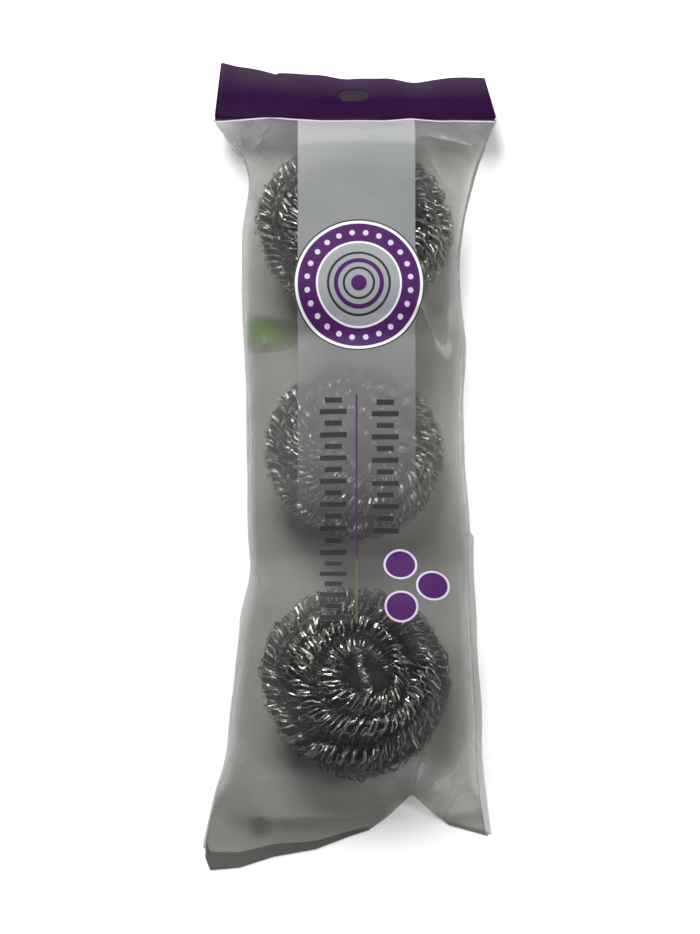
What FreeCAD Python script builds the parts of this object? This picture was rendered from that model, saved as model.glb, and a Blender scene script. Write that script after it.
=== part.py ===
import FreeCAD, Part
import math
import os
import Sketcher

# Retail pack of three wound steel scourers in a welded film bag with a hanging header.
# The pack lies on its back: X across, Y along the bag to the header, Z up out of the front.

# Driving dimensions in millimetres, with what each one measures
SIZES = (
    ("upper_strand_diameter", 8.4, "curled strand of the upper scourer, outside"),
    ("middle_strand_diameter", 6.6, "curled strand of the middle scourer, outside"),
    ("lower_strand_diameter", 8.4, "curled strand of the lower scourer, outside"),
    ("turn_gap", 0.7, "between neighbouring turns of a layer"),
    ("layer_gap", 0.8, "between layers of turns"),
    ("upper_bore_radius", 7.6, "free centre of the upper scourer"),
    ("middle_bore_radius", 4.6, "free centre of the middle scourer"),
    ("lower_bore_radius", 7.4, "free centre of the lower scourer"),
    ("bag_centre_x", 1.45, "middle of the bag across"),
    ("middle_scourer_y", 4.18, "place of the middle scourer along the bag"),
    ("upper_scourer_gap", 16.0, "between the upper and middle scourers"),
    ("lower_scourer_gap", 18.6, "between the middle and lower scourers"),
    ("upper_scourer_offset", -1.5, "upper scourer, off the bag's middle"),
    ("middle_scourer_offset", 1.0, "middle scourer, off the bag's middle"),
    ("lower_scourer_offset", 1.0, "lower scourer, off the bag's middle"),
    ("seat_clearance", 0.3, "between the back film and the scourers on it"),
    ("film_thickness", 0.5, "one layer of film, thickened for a sound solid"),
    ("film_skim", 0.15, "film pressed flat where it lies on a table"),
    ("weld_gap", 0.1, "between the edges of pieces welded together"),
    ("upper_crown_slack", 1.5, "front film above the upper scourer"),
    ("middle_crown_slack", 3.2, "front film above the middle scourer, which is lower"),
    ("lower_crown_slack", 1.5, "front film above the lower scourer"),
    ("upper_side_slack", 2.5, "film beside the upper scourer"),
    ("middle_side_slack", 4.6, "film beside the middle scourer"),
    ("lower_side_slack", 8.5, "film beside the lower scourer"),
    ("back_corner_reach", 13.0, "back film turning up from the table to a side seam"),
    ("valley_dip", 5.2, "front film sunk between the scourers"),
    ("section_spacing", 5.0, "along the bag from one film section to the next, at most"),
    ("upper_lean", 3.0, "film above the upper scourer, off to the right"),
    ("lower_valley_lean", 2.0, "film between the middle and lower scourers, off to the right"),
    ("upper_end_slack", 8.2, "film between the upper scourer and the header weld"),
    ("lower_end_slack", 9.7, "film between the lower scourer and the tail fold"),
    ("side_weld_width", 2.0, "side weld standing out from the film"),
    ("header_width", 119.6, "flat width of the bag at the header"),
    ("header_height", 25.0, "header along its left edge"),
    ("header_right_height", 22.6, "header along its right edge"),
    ("header_taper", 2.2, "each side of the header drawn in at its top"),
    ("header_weld_height", 17.0, "header weld above the table"),
    ("fold_gap", 0.8, "from a fold line to the film on either side"),
    ("slot_width", 13.0, "hang slot, across"),
    ("slot_height", 7.0, "hang slot, along the header"),
    ("slot_rise", 13.4, "hang slot's centre above the fold"),
    ("tail_width", 113.4, "flat width of the bag at the tail fold"),
    ("tail_offset", -2.6, "tail fold's middle, off the bag's middle"),
    ("tail_left_flare", 3.4, "tail's left edge, spread out from the fold"),
    ("tail_right_flare", 2.6, "tail's right edge, spread out from the fold"),
    ("tail_left_length", 18.6, "fold to the bottom weld at the left"),
    ("tail_right_length", 8.2, "fold to the bottom weld at the right"),
    ("tail_middle_length", 8.8, "fold to the foot of the left flap beside the notch"),
    ("notch_centre_x", 27.5, "tip of the tail's notch"),
    ("notch_left_reach", 19.1, "notch tip to the foot of the left flap"),
    ("notch_right_reach", 11.6, "notch tip to the foot of the right flap"),
    ("notch_depth", 1.8, "notch tip below the fold"),
    ("bottom_weld_width", 6.6, "bottom weld at the left corner"),
    ("bottom_weld_taper_width", 1.6, "bottom weld beside the notch"),
    ("bottom_weld_corner", 4.4, "left corner of the bottom weld, cut back"),
    ("cut_overrun", 5.0, "how far a cutting tool passes what it cuts"),
)

# Turns of the strand in each of the four layers, from the bottom up
LAYER_TURNS = {
    "upper": (2.0, 2.5, 2.5, 1.5),
    "middle": (3.0, 3.5, 3.5, 2.5),
    "lower": (2.0, 2.5, 2.5, 1.5),
}
# Turn taken to climb one layer, and the step at which the strand's line is worked out
CLIMB_TURNS = 0.5
STEP_TURNS = 0.25
# Points in each turn where the winding's gap to itself is measured
GAP_POINTS_PER_TURN = 48

# Film between the header weld and the upper scourer:
# shares of the way along, of the change in width, of the crown's rise, of the belly's drop and of the lean
TOP_WRAP_SHARES = (
    (0.125, 0.17, 0.40, 0.60, 0.5),
    (0.24, 0.40, 0.74, 0.92, 1.0),
    (0.36, 0.66, 0.93, 0.992, 1.0),
    (0.58, 0.96, 1.0, 1.0, 0.6),
)
TOP_WRAP_FULLNESS = (1.9, 2.0, 2.4, 3.1)
# Film between the tail fold and the lower scourer:
# shares of the way along, of the change in width, of the seam's rise and of the crown's height
TAIL_WRAP_SHARES = (
    (0.07, 0.10, 0.12, 0.28),
    (0.16, 0.26, 0.34, 0.64),
    (0.28, 0.50, 0.60, 0.87),
    (0.42, 0.72, 0.82, 0.97),
    (0.64, 0.92, 0.96, 1.0),
)
TAIL_WRAP_FULLNESS = (1.7, 1.9, 2.1, 2.4, 2.9)
# How square the film is drawn over a scourer, between two scourers and at a flat end
SCOURER_FULLNESS = 3.4
VALLEY_FULLNESS = 2.4
FLAT_FULLNESS = 2.0
# Valleys' share of the change in width from the scourer above to the one below
VALLEY_WIDTH_SHARES = (0.5, 0.2)
# Edge of a scourer's top: shares of the way to the valley and of the valley's dip there
SHOULDER_SHARES = ((0.35, 0.0), (0.55, 0.06), (0.70, 0.25), (0.85, 0.66))
SHOULDER_FULLNESS = (3.3, 3.1, 2.8, 2.6)
# Steps at least from one chosen film section to the next
LEAST_STEPS = 2
# The film's share of a scourer's offset from the bag's middle
OFFSET_SHARE = 0.4

doc = FreeCAD.newDocument("ScourerPack")
sheet = doc.addObject("Spreadsheet::Sheet", "Sizes")
for row, (alias, size, note) in enumerate(SIZES, start=1):
    sheet.set(f"A{row}", alias)
    sheet.set(f"B{row}", str(size))
    sheet.set(f"C{row}", note)
    sheet.setAlias(f"B{row}", alias)
doc.recompute()


def size(alias):
    return float(sheet.get(alias))


def vector(x, y, z):
    return FreeCAD.Vector(x, y, z)


def feature(label, shape, place=None):
    """A sub-part whose shape is worked out here from the sheet's sizes."""
    part = doc.addObject("Part::Feature", label)
    part.Label = label
    part.Shape = shape
    if place is not None:
        part.Placement = FreeCAD.Placement(place, FreeCAD.Rotation())
    return part


class Winding:
    """One scourer: an unbroken strand whose layers spiral in and out in turn around a free centre."""

    def __init__(self, name):
        self.strand = size(f"{name}_strand_diameter")
        self.layer_turns = LAYER_TURNS[name]
        self.turn_pitch = self.strand + size("turn_gap")
        self.layer_pitch = self.strand + size("layer_gap")
        # Radius that the spiral still gains while it turns back in a climb
        self.turn_back = self.turn_pitch * CLIMB_TURNS / 4
        self.inner_radius = size(f"{name}_bore_radius") + self.strand / 2 + self.turn_back
        widest = max(self.layer_turns) * self.turn_pitch
        self.outer_radius = self.inner_radius + widest + self.turn_back + self.strand / 2
        self.height = self.layer_pitch * (len(self.layer_turns) - 1) + self.strand

    def stages(self):
        """Stages of the strand's route: turns, change of radius direction and layer."""
        stages = []
        for layer, turns in enumerate(self.layer_turns):
            stages.append((turns, -1 if layer % 2 == 0 else 1, layer))
            if layer + 1 < len(self.layer_turns):
                stages.append((CLIMB_TURNS, 0, layer))
        return stages

    def point(self, turn):
        """Centre of the strand after some turns, from the outer end of the bottom layer."""
        radius = self.inner_radius + self.layer_turns[0] * self.turn_pitch
        done = 0.0
        direction = -1
        layer_share = 0.0
        for turns, stage_direction, layer in self.stages():
            along = min(max(turn - done, 0.0), turns)
            if stage_direction:
                direction = stage_direction
                radius += direction * along * self.turn_pitch
            else:
                share = along / turns
                radius += direction * self.turn_pitch * turns * share * (1 - share)
                layer_share = layer + (1 - math.cos(math.pi * share)) / 2
            done += turns
            if turn <= done:
                break
        angle = 2 * math.pi * turn
        height = self.strand / 2 + self.layer_pitch * layer_share
        return vector(radius * math.cos(angle), radius * math.sin(angle), height)

    def way(self, turn):
        """Direction of the strand after some turns."""
        step = STEP_TURNS / 1000
        return (self.point(turn + step) - self.point(turn - step)).normalize()

    def route(self):
        """Line of the strand, with a straight run of one diameter at each end."""
        total = sum(turns for turns, direction, layer in self.stages())
        steps = round(total / STEP_TURNS)
        turns = [total * step / steps for step in range(steps + 1)]
        points = [self.point(turn) for turn in turns]
        ways = [self.way(turn) for turn in turns]
        edges = [Part.LineSegment(points[0] - ways[0] * self.strand, points[0]).toShape()]
        for step in range(steps):
            edges += biarc(points[step], ways[step], points[step + 1], ways[step + 1])
        edges.append(Part.LineSegment(points[-1], points[-1] + ways[-1] * self.strand).toShape())
        return Part.Wire(edges)

    def tube(self, route):
        start = self.point(0) - self.way(0) * self.strand
        profile = Part.Wire([Part.Circle(start, self.way(0), self.strand / 2).toShape()])
        return route.makePipeShell([profile], True, False)

    def least_gap(self, route):
        """Least clear distance between turns of the strand, on points along its route."""
        spacing = 2 * math.pi * self.turn_pitch / GAP_POINTS_PER_TURN
        points = route.discretize(Distance=spacing)
        skip = math.ceil(math.pi * self.strand / spacing)
        nearest = min(
            (points[i] - points[j]).Length
            for i in range(len(points))
            for j in range(i + skip, len(points))
        )
        return nearest - self.strand


def arc(start, corner, end):
    """Arc between two points, tangent to the lines that meet at the corner."""
    middle = (start + end) / 2
    half_chord = (end - start).Length / 2
    reach = (corner - start).Length
    top = middle + (corner - middle) * (half_chord / (half_chord + reach))
    return Part.Arc(start, top, end).toShape()


def biarc(start, start_way, end, end_way):
    """Two arcs that join two points with given directions."""
    span = end - start
    ways = start_way + end_way
    turn = 2 * (1 - start_way.dot(end_way))
    along = span.dot(ways)
    reach = (math.sqrt(along * along + turn * span.dot(span)) - along) / turn
    first_corner = start + start_way * reach
    second_corner = end - end_way * reach
    joint = (first_corner + second_corner) / 2
    return [arc(start, first_corner, joint), arc(joint, second_corner, end)]


# Scourers along the bag, each placed from the one beside it
SCOURERS = ("upper", "middle", "lower")
WINDING = {name: Winding(name) for name in SCOURERS}
RADIUS = {name: WINDING[name].outer_radius for name in SCOURERS}
CENTRE_X = {name: size("bag_centre_x") + size(f"{name}_scourer_offset") for name in SCOURERS}
CENTRE_Y = {"middle": size("middle_scourer_y")}
CENTRE_Y["upper"] = CENTRE_Y["middle"] + RADIUS["middle"] + size("upper_scourer_gap") + RADIUS["upper"]
CENTRE_Y["lower"] = CENTRE_Y["middle"] - RADIUS["middle"] - size("lower_scourer_gap") - RADIUS["lower"]
SEAT_Z = size("film_thickness") - size("film_skim") + size("seat_clearance")

for name, winding in WINDING.items():
    route = winding.route()
    tube = winding.tube(route)
    section = math.pi * winding.strand ** 2 / 4
    print(
        f"{name} scourer: least gap {winding.least_gap(route):.2f} mm,",
        f"volume {tube.Volume / (section * route.Length):.4f} of section times length",
    )
    feature(f"{name}_scourer", tube, vector(CENTRE_X[name], CENTRE_Y[name], SEAT_Z))

# Film sections along the bag, each a front and a back half that meet at the side seams
CROWN_Z = {
    name: SEAT_Z + WINDING[name].height + size(f"{name}_crown_slack") + size("film_thickness")
    for name in SCOURERS
}
SEAM_Z = SEAT_Z + max(winding.height for winding in WINDING.values()) / 2
BELLY_Z = -size("film_skim")
FLAT_RISE = size("film_thickness") + size("weld_gap")
TOP_Y = CENTRE_Y["upper"] + RADIUS["upper"] + size("upper_end_slack")
TAIL_Y = CENTRE_Y["lower"] - RADIUS["lower"] - size("lower_end_slack")
TAIL_SEAM_Z = BELLY_Z + FLAT_RISE
TOP_HALF = size("header_width") / 2 - size("side_weld_width")
TAIL_HALF = size("tail_width") / 2 - size("side_weld_width")
HALF = {
    name: RADIUS[name] + abs(size(f"{name}_scourer_offset")) + size(f"{name}_side_slack")
    for name in SCOURERS
}
FILM_X = {
    name: size("bag_centre_x") + size(f"{name}_scourer_offset") * OFFSET_SHARE
    for name in SCOURERS
}


def mix(start, end, share):
    return start + (end - start) * share


def scourer_station(name):
    """Film over the middle of a scourer."""
    return (CENTRE_Y[name], FILM_X[name], HALF[name], SEAM_Z, CROWN_Z[name], BELLY_Z, SCOURER_FULLNESS)


def shoulder_stations(name, valley):
    """Film over the edge of a scourer's top, from its middle to where it starts down to the valley."""
    valley_y, valley_x, valley_half, valley_crown = valley
    return [
        (
            mix(CENTRE_Y[name], valley_y, along),
            mix(FILM_X[name], valley_x, along),
            mix(HALF[name], valley_half, along),
            SEAM_Z,
            mix(CROWN_Z[name], valley_crown, dip),
            BELLY_Z,
            fullness,
        )
        for (along, dip), fullness in zip(SHOULDER_SHARES, SHOULDER_FULLNESS)
    ]


def film_rows():
    """Chosen sections from header weld to tail fold: y, x, half width, seam, crown, belly, fullness."""
    weld_z = size("header_weld_height")
    middle_x = size("bag_centre_x")
    rows = [(TOP_Y, middle_x, TOP_HALF, weld_z, weld_z + FLAT_RISE, weld_z - FLAT_RISE, FLAT_FULLNESS)]
    for (along, width, rise, drop, lean), fullness in zip(TOP_WRAP_SHARES, TOP_WRAP_FULLNESS):
        rows.append((
            mix(TOP_Y, CENTRE_Y["upper"], along),
            middle_x + size("upper_lean") * lean,
            mix(TOP_HALF, HALF["upper"], width),
            mix(weld_z, SEAM_Z, along),
            mix(weld_z, CROWN_Z["upper"], rise),
            mix(weld_z, BELLY_Z, drop),
            fullness,
        ))
    leans = (0.0, size("lower_valley_lean"))
    for above, below, width, lean in zip(SCOURERS, SCOURERS[1:], VALLEY_WIDTH_SHARES, leans):
        y = (CENTRE_Y[above] - RADIUS[above] + CENTRE_Y[below] + RADIUS[below]) / 2
        half = mix(HALF[above], HALF[below], width)
        crown = (CROWN_Z[above] + CROWN_Z[below]) / 2 - size("valley_dip")
        valley = (y, middle_x + lean, half, crown)
        rows.append(scourer_station(above))
        rows += shoulder_stations(above, valley)
        rows.append((y, middle_x + lean, half, SEAM_Z, crown, BELLY_Z, VALLEY_FULLNESS))
        rows += reversed(shoulder_stations(below, valley))
    rows.append(scourer_station("lower"))
    tail_x = middle_x + size("tail_offset")
    tail_wrap = tuple(zip(TAIL_WRAP_SHARES, TAIL_WRAP_FULLNESS))
    for (along, width, seam, crown), fullness in reversed(tail_wrap):
        rows.append((
            mix(TAIL_Y, CENTRE_Y["lower"], along),
            mix(tail_x, FILM_X["lower"], width),
            mix(TAIL_HALF, HALF["lower"], width),
            mix(TAIL_SEAM_Z, SEAM_Z, seam),
            CROWN_Z["lower"] * crown,
            BELLY_Z,
            fullness,
        ))
    flat_top = TAIL_SEAM_Z + FLAT_RISE
    rows.append((TAIL_Y, tail_x, TAIL_HALF, TAIL_SEAM_Z, flat_top, BELLY_Z, FLAT_FULLNESS))
    return rows


def gentle_slopes(places, values):
    """Slopes of a smooth line through points that never swings past them."""
    steps = [
        (values[i + 1] - values[i]) / (places[i + 1] - places[i])
        for i in range(len(places) - 1)
    ]
    inner = [2 * a * b / (a + b) if a * b > 0 else 0.0 for a, b in zip(steps, steps[1:])]
    return [steps[0], *inner, steps[-1]]


def film_stations():
    """The chosen sections, with more between them on smooth lines."""
    rows = film_rows()
    places = [row[0] for row in rows]
    slopes = list(zip(*(gentle_slopes(places, column) for column in zip(*rows))))
    stations = []
    for i in range(len(rows) - 1):
        gap = places[i + 1] - places[i]
        count = max(math.ceil(abs(gap) / size("section_spacing")), LEAST_STEPS)
        for share in (step / count for step in range(count)):
            bend = share * share * (3 - 2 * share)
            lead, trail = share * (1 - share) ** 2 * gap, share * share * (share - 1) * gap
            ends = zip(rows[i], rows[i + 1], slopes[i], slopes[i + 1])
            stations.append(tuple(mix(a, b, bend) + lead * p + trail * q for a, b, p, q in ends))
    return stations + rows[-1:]


def bezier(*poles):
    curve = Part.BezierCurve()
    curve.setPoles(list(poles))
    return curve.toShape()


def arched_curve(y, x, half, seam, crown, fullness):
    """Film line over the crown from one side seam to the other, squarer as its fullness grows."""
    pull = (8 * 0.5 ** (1 / fullness) - 4) / 3
    wall = mix(seam, crown, pull)
    left, right, top = vector(x - half, y, seam), vector(x + half, y, seam), vector(x, y, crown)
    rise = bezier(left, vector(x - half, y, wall), vector(x - half * pull, y, crown), top)
    fall = bezier(top, vector(x + half * pull, y, crown), vector(x + half, y, wall), right)
    return [rise, fall], left, right


def trough_curve(y, x, half, seam, belly):
    """Film line flat on the table, turned up to a seam at each side."""
    left, right = vector(x - half, y, seam), vector(x + half, y, seam)
    left_foot, right_foot = vector(x - half, y, belly), vector(x + half, y, belly)
    reach = vector(size("back_corner_reach"), 0, 0)
    flat = Part.LineSegment(left_foot + reach, right_foot - reach).toShape()
    fall, rise = bezier(left, left_foot, left_foot + reach), bezier(right_foot - reach, right_foot, right)
    return [fall, flat, rise], left, right


def film_section(station, front):
    """Closed thin section of the front or the back film."""
    y, x, half, seam, crown, belly, fullness = station
    film = size("film_thickness")
    parting = size("weld_gap") / 2
    if front:
        seam += parting
        outer, outer_left, outer_right = arched_curve(y, x, half, seam, crown, fullness)
        inner, inner_left, inner_right = arched_curve(y, x, half - film, seam, crown - film, fullness)
    else:
        seam -= parting
        outer, outer_left, outer_right = trough_curve(y, x, half, seam, belly)
        inner, inner_left, inner_right = trough_curve(y, x, half - film, seam, belly + film)
    right = Part.LineSegment(outer_right, inner_right).toShape()
    left = Part.LineSegment(inner_left, outer_left).toShape()
    return Part.Wire([*outer, right, *reversed(inner), left])


def film_panel(front):
    """Front or back film, lofted along the bag."""
    sections = [film_section(station, front) for station in film_stations()]
    return Part.makeLoft(sections, True, False)


def side_weld(side):
    """Narrow weld along one side of the bag, standing out from the film's edge."""
    sections = []
    film = size("film_thickness")
    for y, x, half, seam, crown, belly, fullness in film_stations():
        inner = x + side * (half + size("weld_gap"))
        outer = x + side * (half + size("side_weld_width"))
        low = max(seam - film, 0)
        corners = [
            vector(inner, y, low),
            vector(outer, y, low),
            vector(outer, y, seam + film),
            vector(inner, y, seam + film),
        ]
        sections.append(Part.makePolygon(corners + corners[:1]))
    return Part.makeLoft(sections, True, False)


feature("front_film", film_panel(True))
table_width = size("header_width") + 2 * size("cut_overrun")
table_length = TOP_Y - TAIL_Y + 2 * size("cut_overrun")
table_left = size("bag_centre_x") - table_width / 2
table = Part.makeBox(table_width, table_length, size("cut_overrun"))
table.translate(vector(table_left, TAIL_Y - size("cut_overrun"), -size("cut_overrun")))
feature("back_film", film_panel(False).cut(table))
feature("left_side_weld", side_weld(-1).cut(table))
feature("right_side_weld", side_weld(1).cut(table))


def bind(obj, path, expression):
    obj.setExpression(path, expression)


def outline_sketch(body, name, corners):
    """Closed outline of straight edges, each corner bound to expressions of the sheet."""
    sketch = body.newObject("Sketcher::SketchObject", name)
    plane = [f for f in body.Origin.OriginFeatures if f.Role == "XY_Plane"][0]
    sketch.AttachmentSupport = [(plane, "")]
    sketch.MapMode = "FlatFace"
    places = [(float(sheet.evalExpression(x)), float(sheet.evalExpression(y))) for x, y in corners]
    count = len(corners)
    for index, (x, y) in enumerate(places):
        next_x, next_y = places[(index + 1) % count]
        sketch.addGeometry(Part.LineSegment(vector(x, y, 0), vector(next_x, next_y, 0)), False)
    for index in range(count):
        sketch.addConstraint(Sketcher.Constraint("Coincident", index, 2, (index + 1) % count, 1))
    for index, corner in enumerate(corners):
        for axis, kind in enumerate(("DistanceX", "DistanceY")):
            held = sketch.addConstraint(Sketcher.Constraint(kind, -1, 1, index, 1, places[index][axis]))
            sketch.renameConstraint(held, f"{kind}_{index}")
            bind(sketch, f"Constraints.{kind}_{index}", corner[axis])
    return sketch


def plate(label, corners, thickness, base):
    """Flat sheet of film: an outline padded to a thickness, with its base below or above the plane."""
    body = doc.addObject("PartDesign::Body", label)
    body.Label = label
    sketch = outline_sketch(body, f"{label}_outline", corners)
    pad = body.newObject("PartDesign::Pad", f"{label}_pad")
    pad.Profile = sketch
    bind(pad, "Length", thickness)
    bind(sketch, "AttachmentOffset.Base.z", base)
    doc.recompute()
    return body


def slot_sketch(body, name):
    """Round-ended slot, bound to its width, height and place."""
    sketch = body.newObject("Sketcher::SketchObject", name)
    plane = [f for f in body.Origin.OriginFeatures if f.Role == "XY_Plane"][0]
    sketch.AttachmentSupport = [(plane, "")]
    sketch.MapMode = "FlatFace"
    radius = size("slot_height") / 2
    reach = size("slot_width") / 2 - radius
    rise = size("slot_rise")
    middle = size("bag_centre_x")
    right = vector(middle + reach, rise, 0)
    left = vector(middle - reach, rise, 0)
    up = vector(0, radius, 0)
    normal = vector(0, 0, 1)
    quarter = math.pi / 2
    sketch.addGeometry(Part.LineSegment(left - up, right - up), False)
    sketch.addGeometry(Part.ArcOfCircle(Part.Circle(right, normal, radius), -quarter, quarter), False)
    sketch.addGeometry(Part.LineSegment(right + up, left + up), False)
    sketch.addGeometry(Part.ArcOfCircle(Part.Circle(left, normal, radius), quarter, 3 * quarter), False)
    for first, second in ((0, 1), (1, 2), (2, 3), (3, 0)):
        sketch.addConstraint(Sketcher.Constraint("Tangent", first, 2, second, 1))
    middle_reach = "(Sizes.slot_width - Sizes.slot_height) / 2"
    holds = (
        ("Radius", (1,), radius, "Sizes.slot_height / 2"),
        ("DistanceX", (-1, 1, 1, 3), right.x, f"Sizes.bag_centre_x + {middle_reach}"),
        ("DistanceY", (-1, 1, 1, 3), right.y, "Sizes.slot_rise"),
        ("DistanceX", (-1, 1, 3, 3), left.x, f"Sizes.bag_centre_x - {middle_reach}"),
    )
    for index, (kind, where, value, expression) in enumerate(holds):
        held = sketch.addConstraint(Sketcher.Constraint(kind, *where, value))
        sketch.renameConstraint(held, f"slot_{index}")
        bind(sketch, f"Constraints.slot_{index}", expression)
    return sketch


def place(body, y, z, angle=0.0):
    """Stand a flat sheet on its fold line, turned about X."""
    turn = FreeCAD.Rotation(vector(1, 0, 0), angle)
    body.Placement = FreeCAD.Placement(vector(0, y, z), turn)


def bead(label, length, left, y, z):
    """Fused line across the bag, round about the fold that runs through it."""
    line = doc.addObject("Part::Cylinder", label)
    line.Label = label
    bind(line, "Radius", "Sizes.film_thickness")
    bind(line, "Height", length)
    across = FreeCAD.Rotation(vector(0, 1, 0), 90)
    line.Placement = FreeCAD.Placement(vector(left, y, z), across)


# Header weld: the two films fused along the header's foot, where the header folds
WELD_HALF = "Sizes.header_width / 2"
HEADER_FOLD_Y = TOP_Y + size("fold_gap")
header_left = size("bag_centre_x") - size("header_width") / 2
bead("header_weld", "Sizes.header_width", header_left, HEADER_FOLD_Y, size("header_weld_height"))

# Header: a front and a back layer, drooping from the fold until its free edge nears the table
HEADER_DROP = size("header_weld_height") - 2 * size("film_thickness")
HEADER_TILT = -math.degrees(math.asin(HEADER_DROP / (size("header_height") + size("fold_gap"))))
header_corners = (
    (f"Sizes.bag_centre_x - {WELD_HALF}", "Sizes.fold_gap"),
    (f"Sizes.bag_centre_x + {WELD_HALF}", "Sizes.fold_gap"),
    (f"Sizes.bag_centre_x + {WELD_HALF} - Sizes.header_taper", "Sizes.fold_gap + Sizes.header_right_height"),
    (f"Sizes.bag_centre_x - {WELD_HALF} + Sizes.header_taper", "Sizes.fold_gap + Sizes.header_height"),
)
for label, base in (("header_front", "0"), ("header_back", "-Sizes.film_thickness")):
    header = plate(label, header_corners, "Sizes.film_thickness", base)
    whole = header.Shape.Volume
    slot = header.newObject("PartDesign::Pocket", f"{label}_slot")
    slot.Profile = slot_sketch(header, f"{label}_slot_outline")
    slot.Type = "ThroughAll"
    slot.Midplane = True
    doc.recompute()
    if not header.Shape.Volume < whole:
        raise RuntimeError(f"{label} has no hang slot")
    place(header, HEADER_FOLD_Y, size("header_weld_height"), HEADER_TILT)

# Tail: the empty foot of the bag, flat on the table, with a notch where it is drawn up
TAIL_FOLD_Y = TAIL_Y - size("fold_gap")
tail_left = size("bag_centre_x") + size("tail_offset") - size("tail_width") / 2
bead("tail_crease", "Sizes.tail_width", tail_left, TAIL_FOLD_Y, size("film_thickness"))
TAIL_LEFT = "Sizes.bag_centre_x + Sizes.tail_offset - Sizes.tail_width / 2"
TAIL_RIGHT = "Sizes.bag_centre_x + Sizes.tail_offset + Sizes.tail_width / 2"
LEFT_FOOT = ("Sizes.notch_centre_x - Sizes.notch_left_reach", "-Sizes.tail_middle_length")
RIGHT_FOOT = ("Sizes.notch_centre_x + Sizes.notch_right_reach", "-Sizes.tail_right_length")
LEFT_CORNER = (f"{TAIL_LEFT} - Sizes.tail_left_flare", "-Sizes.tail_left_length")
RIGHT_CORNER = (
    f"{TAIL_RIGHT} + Sizes.tail_right_flare",
    "-Sizes.tail_right_length - Sizes.bottom_weld_taper_width",
)
tail_corners = (
    (TAIL_LEFT, "-Sizes.fold_gap"),
    LEFT_CORNER,
    LEFT_FOOT,
    ("Sizes.notch_centre_x", "-Sizes.notch_depth"),
    RIGHT_FOOT,
    RIGHT_CORNER,
    (TAIL_RIGHT, "-Sizes.fold_gap"),
)
for label, base in (("tail_front", "Sizes.film_thickness"), ("tail_back", "0")):
    tail = plate(label, tail_corners, "Sizes.film_thickness", base)
    place(tail, TAIL_FOLD_Y, 0)

# Bottom weld: a hem along the foot of each flap of the tail
BELOW = "- Sizes.weld_gap"
weld_outlines = (
    ("left", (
        (LEFT_CORNER[0], f"{LEFT_CORNER[1]} {BELOW}"),
        (f"{LEFT_CORNER[0]} + Sizes.bottom_weld_corner", f"{LEFT_CORNER[1]} - Sizes.bottom_weld_width"),
        (LEFT_FOOT[0], f"{LEFT_FOOT[1]} - Sizes.bottom_weld_taper_width"),
        (LEFT_FOOT[0], f"{LEFT_FOOT[1]} {BELOW}"),
    )),
    ("right", (
        (RIGHT_FOOT[0], f"{RIGHT_FOOT[1]} {BELOW}"),
        (RIGHT_FOOT[0], f"{RIGHT_FOOT[1]} - Sizes.bottom_weld_taper_width"),
        (RIGHT_CORNER[0], f"{RIGHT_CORNER[1]} - Sizes.bottom_weld_taper_width"),
        (RIGHT_CORNER[0], f"{RIGHT_CORNER[1]} {BELOW}"),
    )),
)
for side, corners in weld_outlines:
    weld = plate(f"bottom_weld_{side}", corners, "2 * Sizes.film_thickness", "0")
    place(weld, TAIL_FOLD_Y, 0)

slot_y = HEADER_FOLD_Y + size("slot_rise") * math.cos(math.radians(HEADER_TILT))
slot_z = size("header_weld_height") + size("slot_rise") * math.sin(math.radians(HEADER_TILT))
print(f"hang slot at y {slot_y:.2f}, z {slot_z:.2f}")
print(f"header fold at y {HEADER_FOLD_Y:.2f}, z {size('header_weld_height'):.2f}, tilt {HEADER_TILT:.2f} degrees")
print(f"tail fold at y {TAIL_FOLD_Y:.2f}, z {size('film_thickness'):.2f}")

NODES = (
    "front_film", "back_film", "left_side_weld", "right_side_weld", "header_weld", "tail_crease",
    "header_front", "header_back", "tail_front", "tail_back", "bottom_weld_left", "bottom_weld_right",
    "upper_scourer", "middle_scourer", "lower_scourer",
)
doc.recompute()
for obj in doc.Objects:
    if "Invalid" in obj.State or "Error" in obj.State:
        raise RuntimeError(f"{obj.Label} failed to recompute")
os.makedirs("parts", exist_ok=True)
solids = {}
for label in NODES:
    shape = doc.getObjectsByLabel(label)[0].Shape
    if shape.isNull() or not shape.isValid():
        raise RuntimeError(f"{label} has no sound shape")
    solids[label] = shape
for label, shape in solids.items():
    shape.exportStep(f"parts/{label}.step")
whole = Part.makeCompound(list(solids.values())).optimalBoundingBox(False, False)
print(f"pack {whole.XLength:.1f} x {whole.YLength:.1f} x {whole.ZLength:.1f} mm,")
print(f"middle at {whole.Center.x:.2f}, {whole.Center.y:.2f}, lowest {whole.ZMin:.3f}")
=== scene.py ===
import math

import bpy
import numpy as np
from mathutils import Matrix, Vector
from mathutils.kdtree import KDTree


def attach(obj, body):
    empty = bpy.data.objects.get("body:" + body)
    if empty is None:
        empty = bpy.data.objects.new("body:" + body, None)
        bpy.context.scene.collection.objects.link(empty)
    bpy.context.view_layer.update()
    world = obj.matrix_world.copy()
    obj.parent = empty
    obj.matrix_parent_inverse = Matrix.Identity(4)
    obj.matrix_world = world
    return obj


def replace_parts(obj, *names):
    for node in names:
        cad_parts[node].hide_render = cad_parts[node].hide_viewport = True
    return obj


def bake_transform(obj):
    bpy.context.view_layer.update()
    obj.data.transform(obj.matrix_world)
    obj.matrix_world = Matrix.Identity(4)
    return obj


# Retail pack of three wound steel scourers in a frosted film bag with a purple header.
# Sizes are in millimetres in the frame of the solids, and meshes are made in metres.

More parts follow.
